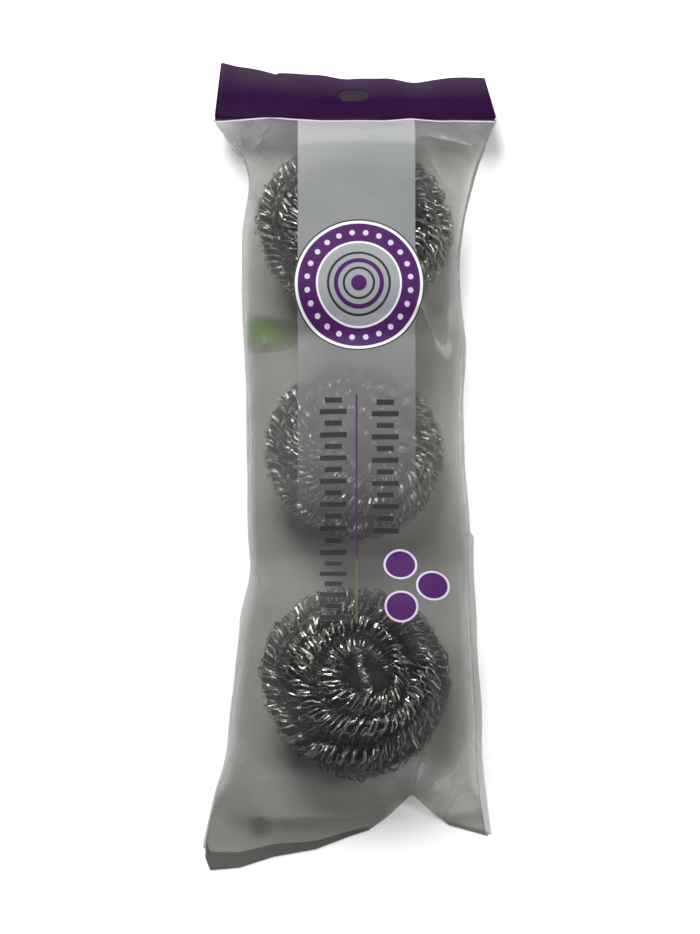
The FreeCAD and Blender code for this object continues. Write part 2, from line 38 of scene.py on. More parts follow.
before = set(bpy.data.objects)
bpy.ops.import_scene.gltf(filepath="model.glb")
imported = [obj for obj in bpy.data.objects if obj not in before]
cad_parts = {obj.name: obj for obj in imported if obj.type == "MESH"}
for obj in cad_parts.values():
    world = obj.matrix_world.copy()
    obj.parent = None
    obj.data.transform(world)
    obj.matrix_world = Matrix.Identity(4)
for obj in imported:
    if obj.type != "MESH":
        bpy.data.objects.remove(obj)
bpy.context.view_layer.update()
MM = 0.001
TAU = 2 * math.pi
TINY = 1e-9
UP = np.array([0.0, 0.0, 1.0])
random = np.random.default_rng(7)


# Small tools for curves and meshes

# Waves of a wobble: their count, first wavelength, step to the next, spread, and the peak of their sum
WOBBLE_WAVES, WOBBLE_FIRST, WOBBLE_STEP, WOBBLE_SPREAD, WOBBLE_PEAK = 3, 0.6, 0.45, (0.85, 1.15), 1.3


def mix(start, end, share):
    return start + (end - start) * share


def ease(share):
    return share * share * (3 - 2 * share)


def smooth_step(low, high, value):
    return ease(np.clip((value - low) / (high - low), 0, 1))


def curve(places, values, at):
    """Smooth line through given points, without overshoot between them."""
    places, values = np.asarray(places, float), np.asarray(values, float)
    gaps, slopes = np.diff(places), np.diff(values) / np.diff(places)
    tangents = np.zeros_like(values)
    steady = slopes[1:] * slopes[:-1] > 0
    tangents[1:-1][steady] = 2 / (1 / slopes[1:][steady] + 1 / slopes[:-1][steady])
    at = np.clip(at, places[0], places[-1])
    span = np.clip(np.searchsorted(places, at, side="right") - 1, 0, len(gaps) - 1)
    share = (at - places[span]) / gaps[span]
    rise = gaps[span] * share * (1 - share)
    lean = tangents[span] * (1 - share) - tangents[span + 1] * share
    return mix(values[span], values[span + 1], ease(share)) + rise * lean


def running_length(line):
    """Length along a line of points, from its start to each point."""
    return np.concatenate([[0], np.cumsum(np.linalg.norm(np.diff(line, axis=0), axis=1))])


def points_at(line, length, at):
    """Points of a line at given lengths along it."""
    return np.stack([np.interp(at, length, part) for part in line.T], axis=1)


def wobble(along, wavelength):
    """Seeded gentle variation between about -1 and 1."""
    total = np.zeros_like(along)
    for step in range(WOBBLE_WAVES):
        length = wavelength * (WOBBLE_FIRST + WOBBLE_STEP * step) * random.uniform(*WOBBLE_SPREAD)
        total += np.sin(TAU * along / length + random.uniform(0, TAU))
    return total / WOBBLE_WAVES ** 0.5 / WOBBLE_PEAK


def wobbles(along, waves):
    """One wobble for each size and wavelength."""
    return [size * wobble(along, wavelength) for size, wavelength in waves]


def add_to_scene(name, data):
    thing = bpy.data.objects.new(name, data)
    bpy.context.scene.collection.objects.link(thing)
    return thing


def make_piece(name, points, faces, material, smooth=True):
    """Mesh piece from points in millimetres."""
    mesh = bpy.data.meshes.new(name)
    points = np.asarray(points, float) * MM
    faces = np.asarray(faces, np.int32)
    count, sides = faces.shape
    mesh.vertices.add(len(points))
    mesh.vertices.foreach_set("co", points.astype(np.float32).ravel())
    mesh.loops.add(count * sides)
    mesh.loops.foreach_set("vertex_index", faces.ravel())
    mesh.polygons.add(count)
    mesh.polygons.foreach_set("loop_start", np.arange(count, dtype=np.int32) * sides)
    mesh.update(calc_edges=True)
    mesh.validate()
    mesh.polygons.foreach_set("use_smooth", np.full(len(mesh.polygons), smooth))
    mesh.materials.append(material)
    return add_to_scene(name, mesh)


def grid_faces(rows, columns, offset=0, flip=False):
    first = offset + (np.arange(rows - 1)[:, None] * columns + np.arange(columns - 1)[None]).ravel()
    faces = np.stack([first, first + 1, first + columns + 1, first + columns], axis=1)
    return faces[:, ::-1] if flip else faces


def grid_normals(grid):
    along = np.gradient(grid, axis=0)
    across = np.gradient(grid, axis=1)
    normals = np.cross(along, across)
    return normals / np.maximum(np.linalg.norm(normals, axis=2, keepdims=True), TINY)


def tube_faces(steps, sides, offset):
    """Faces of a tube: rings of points, each with the same number of sides."""
    ring = offset + np.arange(steps - 1)[:, None] * sides
    side = np.arange(sides)[None]
    after = (side + 1) % sides
    corners = [ring + side, ring + after, ring + sides + after, ring + sides + side]
    return np.stack(corners, axis=2).reshape(-1, 4)


def slab(name, grid, thickness, material):
    """Closed thin sheet whose outer face is a grid of points."""
    rows, columns = grid.shape[:2]
    inner = grid - grid_normals(grid) * thickness
    count = rows * columns
    faces = [grid_faces(rows, columns), grid_faces(rows, columns, count, flip=True)]
    top = np.arange(columns)
    left = np.arange(rows) * columns
    for rim in (top, (rows - 1) * columns + top[::-1], left[::-1], left + columns - 1):
        faces.append(np.stack([rim[1:], rim[:-1], rim[:-1] + count, rim[1:] + count], axis=1))
    points = np.concatenate([grid.reshape(-1, 3), inner.reshape(-1, 3)])
    piece = make_piece(name, points, np.concatenate(faces), material)
    keep_place(piece, points)
    return piece


def keep_place(piece, places):
    """Where each point lies, in millimetres, for print and noise."""
    attribute = piece.data.attributes.new("flat_place", "FLOAT_VECTOR", "POINT")
    attribute.data.foreach_set("vector", np.asarray(places, np.float32).ravel())


def keep_number(piece, name, values):
    attribute = piece.data.attributes.new(name, "FLOAT", "POINT")
    attribute.data.foreach_set("value", np.asarray(values, np.float32))


# Materials from nodes, with fields whose masks read as sums and products

# Places of the sockets of a Mix node that mixes colours
MIX_SHARE, MIX_FIRST, MIX_SECOND, MIX_RESULT = 0, 6, 7, 2


def feed(tree, socket, value):
    """Link a field or an output to a socket, or set the socket to a colour or a number."""
    if isinstance(value, Field):
        tree.links.new(value.socket, socket)
    elif isinstance(value, bpy.types.NodeSocket):
        tree.links.new(value, socket)
    elif isinstance(value, tuple):
        socket.default_value = (*value, 1)
    else:
        socket.default_value = value


class Field:
    """A number that varies over a surface."""

    def __init__(self, tree, socket):
        self.tree, self.socket = tree, socket

    def apply(self, operation, *others, clamp=False):
        node = self.tree.nodes.new("ShaderNodeMath")
        node.operation = operation
        node.use_clamp = clamp
        for socket, value in zip(node.inputs, (self,) + others):
            feed(self.tree, socket, value)
        return Field(self.tree, node.outputs[0])

    def __add__(self, other):
        return self.apply("ADD", other)

    def __sub__(self, other):
        return self.apply("SUBTRACT", other)

    def __mul__(self, other):
        return self.apply("MULTIPLY", other)

    def inverse(self):
        return self * -1 + 1

    def size(self):
        return self.apply("ABSOLUTE")

    def highest(self, other):
        return self.apply("MAXIMUM", other)

    def clamped(self):
        return self.apply("ADD", 0.0, clamp=True)

    def below(self, edge, soft):
        """One where the number is under an edge, fading to zero past it."""
        return ((self - edge) * (-1 / soft) + 0.5).clamped()

    def between(self, low, high, soft):
        middle, half = (low + high) / 2, (high - low) / 2
        return (self - middle).size().below(half, soft)


def distance(x, y, place, reach=(1.0, 1.0)):
    """Distance from a place, or the share of an oval's reach across and along."""
    across, along = (x - place[0]) * (1 / reach[0]), (y - place[1]) * (1 / reach[1])
    return (across * across + along * along).apply("SQRT")


class Finish:
    """A procedural material around one Principled shader."""

    def __init__(self, name):
        self.material = bpy.data.materials.new(name)
        self.material.use_nodes = True
        self.tree = self.material.node_tree
        self.shader = self.tree.nodes["Principled BSDF"]
        self.output = self.tree.nodes["Material Output"]

    def set(self, **values):
        for name, value in values.items():
            feed(self.tree, self.shader.inputs[name.replace("_", " ")], value)

    def kept(self, name, output):
        """Output that gives what is kept at each point of the mesh."""
        node = self.tree.nodes.new("ShaderNodeAttribute")
        node.attribute_name = name
        return node.outputs[output]

    def number(self, name):
        return Field(self.tree, self.kept(name, "Fac"))

    def place(self):
        """Place on the film, in millimetres: across and along."""
        parts = self.tree.nodes.new("ShaderNodeSeparateXYZ")
        self.tree.links.new(self.kept("flat_place", "Vector"), parts.inputs[0])
        return Field(self.tree, parts.outputs[0]), Field(self.tree, parts.outputs[1])

    def noise(self, grain, detail, stretch=(1, 1, 1)):
        """Noise whose features are about a grain wide, in millimetres."""
        spread = self.tree.nodes.new("ShaderNodeVectorMath")
        spread.operation = "MULTIPLY"
        spread.inputs[1].default_value = stretch
        self.tree.links.new(self.kept("flat_place", "Vector"), spread.inputs[0])
        node = self.tree.nodes.new("ShaderNodeTexNoise")
        node.inputs["Scale"].default_value = 1 / grain
        node.inputs["Detail"].default_value = detail
        self.tree.links.new(spread.outputs[0], node.inputs["Vector"])
        return Field(self.tree, node.outputs["Fac"])

    def colour(self, first, second, share):
        node = self.tree.nodes.new("ShaderNodeMix")
        node.data_type = "RGBA"
        for index, value in ((MIX_FIRST, first), (MIX_SECOND, second), (MIX_SHARE, share)):
            feed(self.tree, node.inputs[index], value)
        return node.outputs[MIX_RESULT]

    def bump(self, height, depth, strength):
        """Relief of a depth in millimetres."""
        node = self.tree.nodes.new("ShaderNodeBump")
        node.inputs["Strength"].default_value = strength
        node.inputs["Distance"].default_value = depth * MM
        self.tree.links.new(height.socket, node.inputs["Height"])
        self.tree.links.new(node.outputs[0], self.shader.inputs["Normal"])

    def see_through(self, share, lamp_share, tint):
        """Share of the surface that is clear to the eye, and that lamps pass to what is behind."""
        path = self.tree.nodes.new("ShaderNodeLightPath")
        clear = self.tree.nodes.new("ShaderNodeBsdfTransparent")
        clear.inputs["Color"].default_value = (*tint, 1)
        both = self.tree.nodes.new("ShaderNodeMixShader")
        passing = (Field(self.tree, path.outputs["Is Shadow Ray"]) * lamp_share).highest(share)
        self.tree.links.new(passing.socket, both.inputs[0])
        self.tree.links.new(self.shader.outputs[0], both.inputs[1])
        self.tree.links.new(clear.outputs[0], both.inputs[2])
        self.tree.links.new(both.outputs[0], self.output.inputs["Surface"])


# Steel scourers: several curled flat ribbons in each strand, wound in layers round a free centre

COILS = {
    "upper": {"strand": 8.4, "bore": 7.6, "turns": (2.0, 2.5, 2.5, 1.5)},
    "middle": {"strand": 6.6, "bore": 4.6, "turns": (3.0, 3.5, 3.5, 2.5)},
    "lower": {"strand": 8.4, "bore": 7.4, "turns": (2.0, 2.5, 2.5, 1.5)},
}
TURN_GAP, LAYER_GAP, CLIMB_TURNS = 0.7, 0.8, 0.5
BAG_X, MIDDLE_Y, SEAT_Z = 1.45, 4.18, 0.65
UPPER_GAP, LOWER_GAP = 16.0, 18.6
COIL_X = {"upper": BAG_X - 1.5, "middle": BAG_X + 1.0, "lower": BAG_X + 1.0}
# Points on the route of a layer and of a climb, before the route is spaced evenly
LAYER_POINTS, CLIMB_POINTS = 400, 80
RIBBON_WIDTH, RIBBON_THICKNESS = 0.62, 0.12
RIBBONS = {"upper": 8, "middle": 6, "lower": 8}
CURL_PITCH_SHARE, CURL_STEPS = 1.4, 16
CURL_OVERREACH, CURL_STRAY, PITCH_SPREAD = 0.3, 0.6, 0.08
# Uneven curls, as sizes and wavelengths: turn, place in three directions, and twist of the ribbon
TURN_WAVES = ((0.9, 23), (0.55, 6.1))
STRAY_WAVES = ((1.0, 13), (1.0, 11), (0.4, 12))
TWIST_WAVES = ((0.7, 9.0),)
# Radius of a curl, as shares of its reach: mean, slow swell and quick dips, limits
CURL_RADIUS, RADIUS_WAVES, RADIUS_LIMITS = 0.88, ((0.14, 15), (0.10, 4.1)), (0.55, 1.06)
# Packed inner curls of a strand, shown as a core painted dark for the shade among them: share of its radius,
# sides, steps from ring to ring
CORE_SHARE, CORE_SIDES, CORE_STRIDE = 0.66, 8, 4
CORE_WAVE, CORE_WAVE_RINGS = 0.12, 5.0
# How far the inner turns are pushed aside, how far from the centre that reaches, and how sharply it ends
CENTRE_PUSH = {"upper": (-2.0, 1.0), "middle": (1.5, 1.0), "lower": (4.6, 0.6)}
PUSH_REACH, PUSH_POWER = 17.0, 4
# How far the lower turns of a scourer sag toward the tail, from where, and between which heights it ends
SAG = {"upper": 0.0, "middle": 0.0, "lower": 6.0}
SAG_START, SAG_HEIGHTS = 5, (6, 18)
# Slow bends of all turns, which die out at the rim: size, and lengths along the other two directions
BEND, BEND_X_LENGTHS, BEND_Y_LENGTHS, RIM_POWER = 1.2, (6.1, 8.0), (5.3, 7.0), 6
# How far a scourer lies off its place in the solids, to the right and toward the header
NUDGE = {"upper": (1.7, 0.5), "middle": (-0.8, 0.0), "lower": (-0.6, -0.4)}
# How much a scourer is spread sideways, and how far curls stand past its lower and upper faces
SPREAD = {"upper": 1.035, "middle": 1.0, "lower": 1.0}
FACE_SINK, FACE_PROUD = 0.1, 0.8
# How dark the painted shade on the deeper curls is, between which heights, and the painted shade on the foot
# toward the tail: where it starts, its share
DEEP_SHADE = {"upper": 0.15, "middle": 0.15, "lower": 0.9}
DEEP_HEIGHTS, FOOT_SHADE_REACH, FOOT_SHADE_SHARE = (13, 28), (34, 40), 0.9
# Loose ends of one scourer, from its own middle: a strand across the free centre, and single wires
LOOSE_SCOURER = "lower"
CROSSING = np.array((
    (-2.6, 14.0, 26.0), (-1.8, 8.0, 29.0), (-1.2, 2.0, 29.5), (-0.6, -4.0, 29.0), (0.6, -11.0, 27.5),
))
CROSSING_REACH, CROSSING_PITCH, CROSSING_RIBBONS, CROSSING_STEPS = 2.5, 5.0, 5, 110
LOOSE_WIRES = (
    ((-3.0, -39.0, 18.0), (9.5, -39.6, 18.8)),
    ((0.5, -39.8, 16.5), (12.0, -38.4, 19.5)),
    ((3.0, -38.6, 20.0), (7.5, -40.2, 15.5)),
)
WIRE_LENGTH, WIRE_STEPS, WIRE_REACH, WIRE_PITCH = 12.0, 30, 0.2, 30.0
# Steel tones: dull and bright patches, and the near black of the painted shade on the core and deeper curls
STEEL_DULL, STEEL_BRIGHT, STEEL_PAINTED_SHADE = (0.20, 0.197, 0.19), (0.62, 0.615, 0.60), (0.022, 0.022, 0.021)
# Grain, detail and stretch of the steel's noises; its roughness; depth and strength of its relief
STEEL_PATCH, STEEL_SHEEN, STEEL_SCRATCH = (1.6, 2.0), (0.9, 2.0), (0.25, 2.0, (1, 1, 4))
STEEL_ROUGHNESS, STEEL_ROUGHNESS_RANGE, STEEL_RELIEF = 0.24, 0.2, (0.02, 0.5)

for coil in COILS.values():
    coil["pitch"] = coil["strand"] + TURN_GAP
    coil["turn_back"] = coil["pitch"] * CLIMB_TURNS / 4
    coil["inner"] = coil["bore"] + coil["strand"] / 2 + coil["turn_back"]
    outermost = coil["inner"] + max(coil["turns"]) * coil["pitch"]
    coil["radius"] = outermost + coil["turn_back"] + coil["strand"] / 2
    coil["height"] = 3 * (coil["strand"] + LAYER_GAP) + coil["strand"]
COIL_Y = {
    "upper": MIDDLE_Y + COILS["middle"]["radius"] + UPPER_GAP + COILS["upper"]["radius"],
    "middle": MIDDLE_Y,
    "lower": MIDDLE_Y - COILS["middle"]["radius"] - LOWER_GAP - COILS["lower"]["radius"],
}


def strand_route(coil, spacing):
    """Centre line of a strand, evenly spaced, with its outward direction."""
    turns, radii, layers = [], [], []
    radius, done = coil["inner"] + coil["turns"][0] * coil["pitch"], 0.0
    for layer, count in enumerate(coil["turns"]):
        way = -1 if layer % 2 == 0 else 1
        along = np.linspace(0, count, LAYER_POINTS)
        turns.append(done + along)
        radii.append(radius + way * along * coil["pitch"])
        layers.append(np.full_like(along, layer))
        radius, done = radius + way * count * coil["pitch"], done + count
        if layer + 1 < len(coil["turns"]):
            share = np.linspace(0, 1, CLIMB_POINTS)
            turns.append(done + share * CLIMB_TURNS)
            radii.append(radius + way * coil["pitch"] * CLIMB_TURNS * share * (1 - share))
            layers.append(layer + (1 - np.cos(np.pi * share)) / 2)
            done += CLIMB_TURNS
    angle = TAU * np.concatenate(turns)
    radius, layer = np.concatenate(radii), np.concatenate(layers)
    height = coil["strand"] / 2 + (coil["strand"] + LAYER_GAP) * layer
    points = np.stack([radius * np.cos(angle), radius * np.sin(angle), height], axis=1)
    length = running_length(points)
    even = np.arange(0, length[-1], spacing)
    return even, points_at(points, length, even), np.interp(even, length, angle)


def outward(angle):
    return np.stack([np.cos(angle), np.sin(angle), np.zeros_like(angle)], axis=1)


def ribbon_mesh(along, line, angle, reach, pitch, phase):
    """One curled flat ribbon round a strand's line: its corner points, four to a step."""
    slow, quick = wobbles(along, TURN_WAVES)
    turn = TAU * along / pitch + phase + slow + quick
    curl = outward(angle) * np.cos(turn)[:, None] + UP * np.sin(turn)[:, None]
    swell, dips = wobbles(along, RADIUS_WAVES)
    radius = reach * np.clip(CURL_RADIUS + swell - np.abs(dips), *RADIUS_LIMITS)
    stray = np.stack(wobbles(along, STRAY_WAVES), axis=1)
    centre = line + stray * CURL_STRAY + curl * radius[:, None]
    side = np.cross(np.gradient(centre, axis=0), curl)
    side /= np.linalg.norm(side, axis=1, keepdims=True)
    twist = wobbles(along, TWIST_WAVES)[0][:, None]
    across = (side * np.cos(twist) + curl * np.sin(twist)) * RIBBON_WIDTH / 2
    through = (curl * np.cos(twist) - side * np.sin(twist)) * RIBBON_THICKNESS / 2
    right, left = centre + across, centre - across
    return np.stack([right + through, left + through, left - through, right - through], axis=1).reshape(-1, 3)


def ribbon_faces(steps, offset):
    last = offset + (steps - 1) * 4
    caps = [[offset + 3, offset + 2, offset + 1, offset], [last, last + 1, last + 2, last + 3]]
    return np.concatenate([tube_faces(steps, 4, offset), caps])


def core_mesh(line, angle, radius):
    """Core of a strand, painted dark for the shade among its packed curls: rings of points round its line."""
    line, angle = line[::CORE_STRIDE], angle[::CORE_STRIDE]
    turn = np.arange(CORE_SIDES) * TAU / CORE_SIDES
    wave = radius * (1 + CORE_WAVE * wobble(np.arange(len(line), dtype=float), CORE_WAVE_RINGS))
    ring = outward(angle)[:, None] * np.cos(turn)[None, :, None] + UP * np.sin(turn)[None, :, None]
    return (line[:, None] + ring * wave[:, None, None]).reshape(-1, 3)


def loose_ends():
    """Corner points of the loose ends, one array for each ribbon."""
    share = np.linspace(0, 1, CROSSING_STEPS)
    knots = np.linspace(0, 1, len(CROSSING))
    line = np.stack([curve(knots, part, share) for part in CROSSING.T], axis=1)
    along = share * running_length(CROSSING)[-1]
    for ribbon in range(CROSSING_RIBBONS):
        phase = TAU * ribbon / CROSSING_RIBBONS
        yield ribbon_mesh(along, line, np.zeros_like(along), CROSSING_REACH, CROSSING_PITCH, phase)
    along = np.linspace(0, WIRE_LENGTH, WIRE_STEPS)
    for start, end in LOOSE_WIRES:
        line = mix(np.array(start), np.array(end), np.linspace(0, 1, WIRE_STEPS)[:, None])
        yield ribbon_mesh(along, line, np.full_like(along, TAU / 4), WIRE_REACH, WIRE_PITCH, 0.0)


def settle(name, points):
    """Points of a scourer, bent as it lies and moved to its place in the bag."""
    coil = COILS[name]
    x, y, z = points.T
    away = np.hypot(x, y)
    push = np.exp(-(away / PUSH_REACH) ** PUSH_POWER)
    bend = (1 - (away / coil["radius"]) ** RIM_POWER) * BEND
    bend_x = bend * np.sin(y / BEND_X_LENGTHS[0] + z / BEND_X_LENGTHS[1])
    bend_y = bend * np.sin(x / BEND_Y_LENGTHS[0] - z / BEND_Y_LENGTHS[1])
    sag = SAG[name] * smooth_step(SAG_START, coil["radius"], -y) * (1 - smooth_step(*SAG_HEIGHTS, z))
    settled_x = (x + (push * CENTRE_PUSH[name][0] + bend_x)) * SPREAD[name]
    settled_y = y + (push * CENTRE_PUSH[name][1] + bend_y) - sag
    settled = np.stack([settled_x, settled_y, z], axis=1)
    settled += [COIL_X[name] + NUDGE[name][0], COIL_Y[name] + NUDGE[name][1], SEAT_Z]
    settled[:, 2] = np.clip(settled[:, 2], SEAT_Z - FACE_SINK, SEAT_Z + coil["height"] + FACE_PROUD)
    return settled


def scourer(name, material):
    coil = COILS[name]
    pitch = coil["strand"] * CURL_PITCH_SHARE
    along, line, angle = strand_route(coil, pitch / CURL_STEPS)
    reach = coil["strand"] / 2 + CURL_OVERREACH
    ribbons = []
    for ribbon in range(RIBBONS[name]):
        slant = pitch * (1 + PITCH_SPREAD * (ribbon % 3 - 1))
        ribbons.append(ribbon_mesh(along, line, angle, reach, slant, TAU * ribbon / RIBBONS[name]))
    if name == LOOSE_SCOURER:
        ribbons.extend(loose_ends())
    core_shade = core_mesh(line, angle, CORE_SHARE * coil["strand"] / 2)
    *starts, core_start = np.cumsum([0] + [len(ribbon) for ribbon in ribbons])
    faces = [ribbon_faces(len(ribbon) // 4, start) for ribbon, start in zip(ribbons, starts)]
    faces.append(tube_faces(len(core_shade) // CORE_SIDES, CORE_SIDES, core_start))
    points = settle(name, np.concatenate(ribbons + [core_shade]))
    piece = make_piece(f"{name}_scourer_curls", points, np.concatenate(faces), material, smooth=False)
    keep_place(piece, points)
    # Painted shade: darker on the deeper curls and on the foot toward the tail, darkest on the core
    foot = smooth_step(*FOOT_SHADE_REACH, COIL_Y[name] - points[:, 1])
    depth_shade = DEEP_SHADE[name] * np.maximum(1 - smooth_step(*DEEP_HEIGHTS, points[:, 2]), FOOT_SHADE_SHARE * foot)
    keep_number(piece, "core_shade", np.where(np.arange(len(points)) >= core_start, 1.0, depth_shade))
    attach(piece, f"{name}_scourer_body")
    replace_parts(piece, f"{name}_scourer")
    return piece


def steel_finish():
    steel = Finish("curled_steel")
    tone = steel.colour(STEEL_DULL, STEEL_BRIGHT, steel.noise(*STEEL_PATCH))
    # Painted shade from the core and the deeper curls
    tone = steel.colour(tone, STEEL_PAINTED_SHADE, steel.number("core_shade"))
    roughness = steel.noise(*STEEL_SHEEN) * STEEL_ROUGHNESS_RANGE + STEEL_ROUGHNESS
    steel.set(Base_Color=tone, Metallic=1.0, Roughness=roughness)
    steel.bump(steel.noise(*STEEL_SCRATCH), *STEEL_RELIEF)
    return steel.material


# Film of the bag: one row for each section along it, from the header weld to the bottom edge
# y, left edge, right edge, seam height, crown height, belly height, front fullness
FILM_ROWS = np.array((
    (149.8, -56.5, 60.5, 17.0, 17.3, 16.70, 2.0),
    (142.8, -52.3, 58.0, 17.2, 25.5, 6.71, 1.9),
    (137.2, -47.9, 55.9, 17.4, 32.8, 1.22, 2.0),
    (131.3, -43.7, 53.6, 17.6, 36.9, 0.15, 2.4),
    (120.5, -41.6, 50.5, 18.0, 38.4, 0.15, 3.1),
    (99.8, -43.9, 46.3, 18.6, 38.4, 0.15, 3.4),
    (82.6, -44.4, 44.6, 18.6, 38.4, 0.15, 3.3),
    (72.8, -44.4, 45.1, 18.6, 38.0, 0.15, 3.1),
    (65.5, -44.1, 45.8, 18.6, 36.5, 0.15, 2.8),
    (58.1, -43.7, 46.6, 18.6, 33.2, 0.15, 2.6),
    (50.8, -43.3, 47.2, 18.6, 30.5, 0.15, 2.4),
    (43.8, -43.0, 47.0, 18.6, 31.3, 0.15, 2.6),
    (36.8, -42.7, 46.7, 18.6, 32.3, 0.15, 2.8),
    (29.8, -42.5, 46.4, 18.6, 32.8, 0.15, 3.1),
    (20.5, -42.3, 46.2, 18.6, 32.9, 0.15, 3.3),
    (4.2, -41.9, 46.4, 18.6, 32.9, 0.15, 3.4),
    (-12.6, -41.9, 47.8, 18.6, 32.9, 0.15, 3.3),
    (-22.1, -41.8, 48.4, 18.6, 32.8, 0.15, 3.1),
    (-29.3, -41.4, 48.6, 18.6, 32.3, 0.15, 2.8),
    (-36.5, -41.0, 48.7, 18.6, 31.3, 0.15, 2.6),
    (-43.7, -40.6, 48.8, 18.6, 30.5, 0.15, 2.4),
    (-51.2, -41.3, 49.0, 18.6, 33.2, 0.15, 2.6),
    (-58.7, -43.1, 49.3, 18.6, 36.5, 0.15, 2.8),
    (-66.2, -44.4, 49.6, 18.6, 38.0, 0.15, 3.1),
    (-76.3, -45.2, 50.0, 18.6, 38.4, 0.15, 3.3),
    (-93.8, -47.1, 51.0, 18.6, 38.4, 0.15, 3.4),
    (-112.0, -49.1, 52.0, 17.9, 38.4, 0.15, 2.9),
    (-123.1, -49.9, 52.1, 15.4, 37.3, 0.15, 2.4),
    (-130.2, -51.9, 52.6, 11.4, 33.4, 0.15, 2.1),
    (-136.3, -54.4, 53.3, 6.6, 24.5, 0.15, 1.9),
    (-140.8, -55.9, 53.9, 2.6, 10.6, 0.15, 1.7),
    (-145.2, -57.0, 54.5, 1.3, 3.8, 0.15, 1.9),
    (-152.0, -58.4, 55.6, 0.7, 1.7, 0.15, 2.0),
    (-160.0, -59.6, 56.6, 0.5, 0.7, 0.15, 2.0),
    (-171.0, -59.9, 57.0, 0.4, 0.4, 0.15, 2.0),
))[::-1]
FILM_Y = FILM_ROWS[:, 0]
BACK_FULLNESS = 9.0
# More columns over the flat panel of the back film, as shares of its half width
BACK_PANEL = np.linspace(-0.79, 0.79, 61)[None]
# Rows over the bag, rows over the tail, and columns of each film
FRONT_GRID, BACK_GRID = (290, 46, 120), (150, 30, 80)
FILM_THICKNESS = 0.1
TOP_Y = 149.8
TAIL_START_Y = -126.0
# Bottom edge of the film, with the place where it is drawn up between the two flaps
BOTTOM_EDGE = np.array((
    (-61.0, -161.5), (-57.6, -170.1), (-45.5, -169.0), (-31.3, -164.3), (-14.2, -161.2), (0.0, -155.6),
    (8.0, -153.0), (17.5, -146.4), (25.5, -140.0), (33.0, -145.6), (40.9, -150.8), (58.0, -155.8),
))
# Rounds in which the bottom edge is found for each column
EDGE_ROUNDS = 6
NOTCH_X, NOTCH_LIFT, NOTCH_REACH = 25.5, 8.0, 8.0
# Height of the bottom weld, how far each film lies off it, over which length, and how low each may come
WELD_Z, WELD_OFFSET, HEM_BLEND = 0.5, 0.2, 12.0
FRONT_LOWEST, BACK_LOWEST = 0.28, 0.12
# Small ripple of the front film: height, lengths of its two waves across and along, and calm near the seam
RIPPLE, RIPPLE_FIRST, RIPPLE_SECOND, SEAM_CALM = 0.25, (4.7, 9.0), (11.0, 6.1), 0.7

# Creases: start and end in millimetres, height and width of the ridge
CREASES = (
    ((-31.0, 149.0), (-41.0, 131.0), 1.7, 1.5),
    ((-28.0, 149.0), (-37.5, 137.0), -1.2, 2.0),
    ((-50.0, 147.0), (-44.0, 133.0), 0.9, 2.0),
    ((27.5, 138.0), (55.0, 134.5), 1.6, 1.4),
    ((30.0, 133.0), (51.0, 128.0), -1.1, 2.6),
    ((30.0, 132.0), (44.0, 109.0), 1.5, 1.4),
    ((36.0, 147.0), (50.0, 138.0), -0.9, 2.6),
    ((44.0, 149.0), (38.0, 136.0), 1.0, 1.5),
    ((28.0, 66.0), (40.5, 40.0), 2.3, 1.6),
    ((41.5, 68.0), (40.5, 40.0), 2.0, 1.6),
    ((35.0, 64.0), (39.5, 47.0), -2.0, 2.8),
    ((28.0, 62.0), (36.0, 48.0), -0.8, 2.4),
    ((-42.0, 60.0), (-33.0, 47.0), 0.8, 2.6),
    ((-42.0, 38.0), (-34.0, 52.0), 0.6, 2.6),
    ((-41.0, -38.0), (-30.0, -50.0), 0.8, 2.8),
    ((-41.0, -52.0), (-34.0, -62.0), 0.8, 2.4),
    ((44.0, -30.0), (38.0, -50.0), 0.7, 2.4),
    ((-50.0, -119.0), (-36.0, -130.0), 1.2, 2.2),
    ((-52.0, -125.0), (-40.0, -136.0), -1.4, 2.4),
    ((-53.0, -131.0), (-28.0, -146.0), 0.6, 2.6),
    ((-46.0, -139.0), (-20.0, -152.0), 0.5, 2.6),
    ((26.0, -139.0), (33.0, -127.0), 1.6, 2.4),
    ((30.0, -141.0), (47.0, -131.0), 1.2, 2.6),
    ((38.0, -149.0), (41.0, -134.0), 0.9, 2.2),
    ((20.0, -143.0), (12.0, -136.0), 1.0, 2.6),
    ((50.0, -120.0), (43.0, -133.0), 1.0, 2.6),
)
# How a crease fades toward its ends, and how sharp its ridge is
CREASE_ENDS, CREASE_RIDGE = 3, 1.2
# Place where the film is drawn down onto the steel: middle, reach across and along, depth
TOUCH, TOUCH_REACH, TOUCH_DEPTH = (-22.0, 8.0), (11.0, 24.0), 1.6


def crease_height(x, y):
    total = np.zeros_like(x)
    for start, end, height, width in CREASES:
        start, end = np.array(start), np.array(end)
        span = end - start
        share = ((x - start[0]) * span[0] + (y - start[1]) * span[1]) / (span @ span)
        on = np.clip(share, 0, 1)
        away = np.hypot(x - start[0] - on * span[0], y - start[1] - on * span[1])
        taper = np.clip(1 - np.abs(2 * on - 1) ** CREASE_ENDS, 0, 1)
        total += height * taper * np.exp(-(away / width) ** CREASE_RIDGE)
    return total


def bottom_edge(x):
    return np.interp(x, BOTTOM_EDGE[:, 0], BOTTOM_EDGE[:, 1])


def weld_height(x):
    return WELD_Z + NOTCH_LIFT * np.exp(-((x - NOTCH_X) / NOTCH_REACH) ** 2)


def across_shares(angle, fullness):
    """Places across a section, from -1 to 1, for a rounder or a fuller section."""
    return -np.sign(np.cos(angle)) * np.abs(np.cos(angle)) ** (2 / fullness)


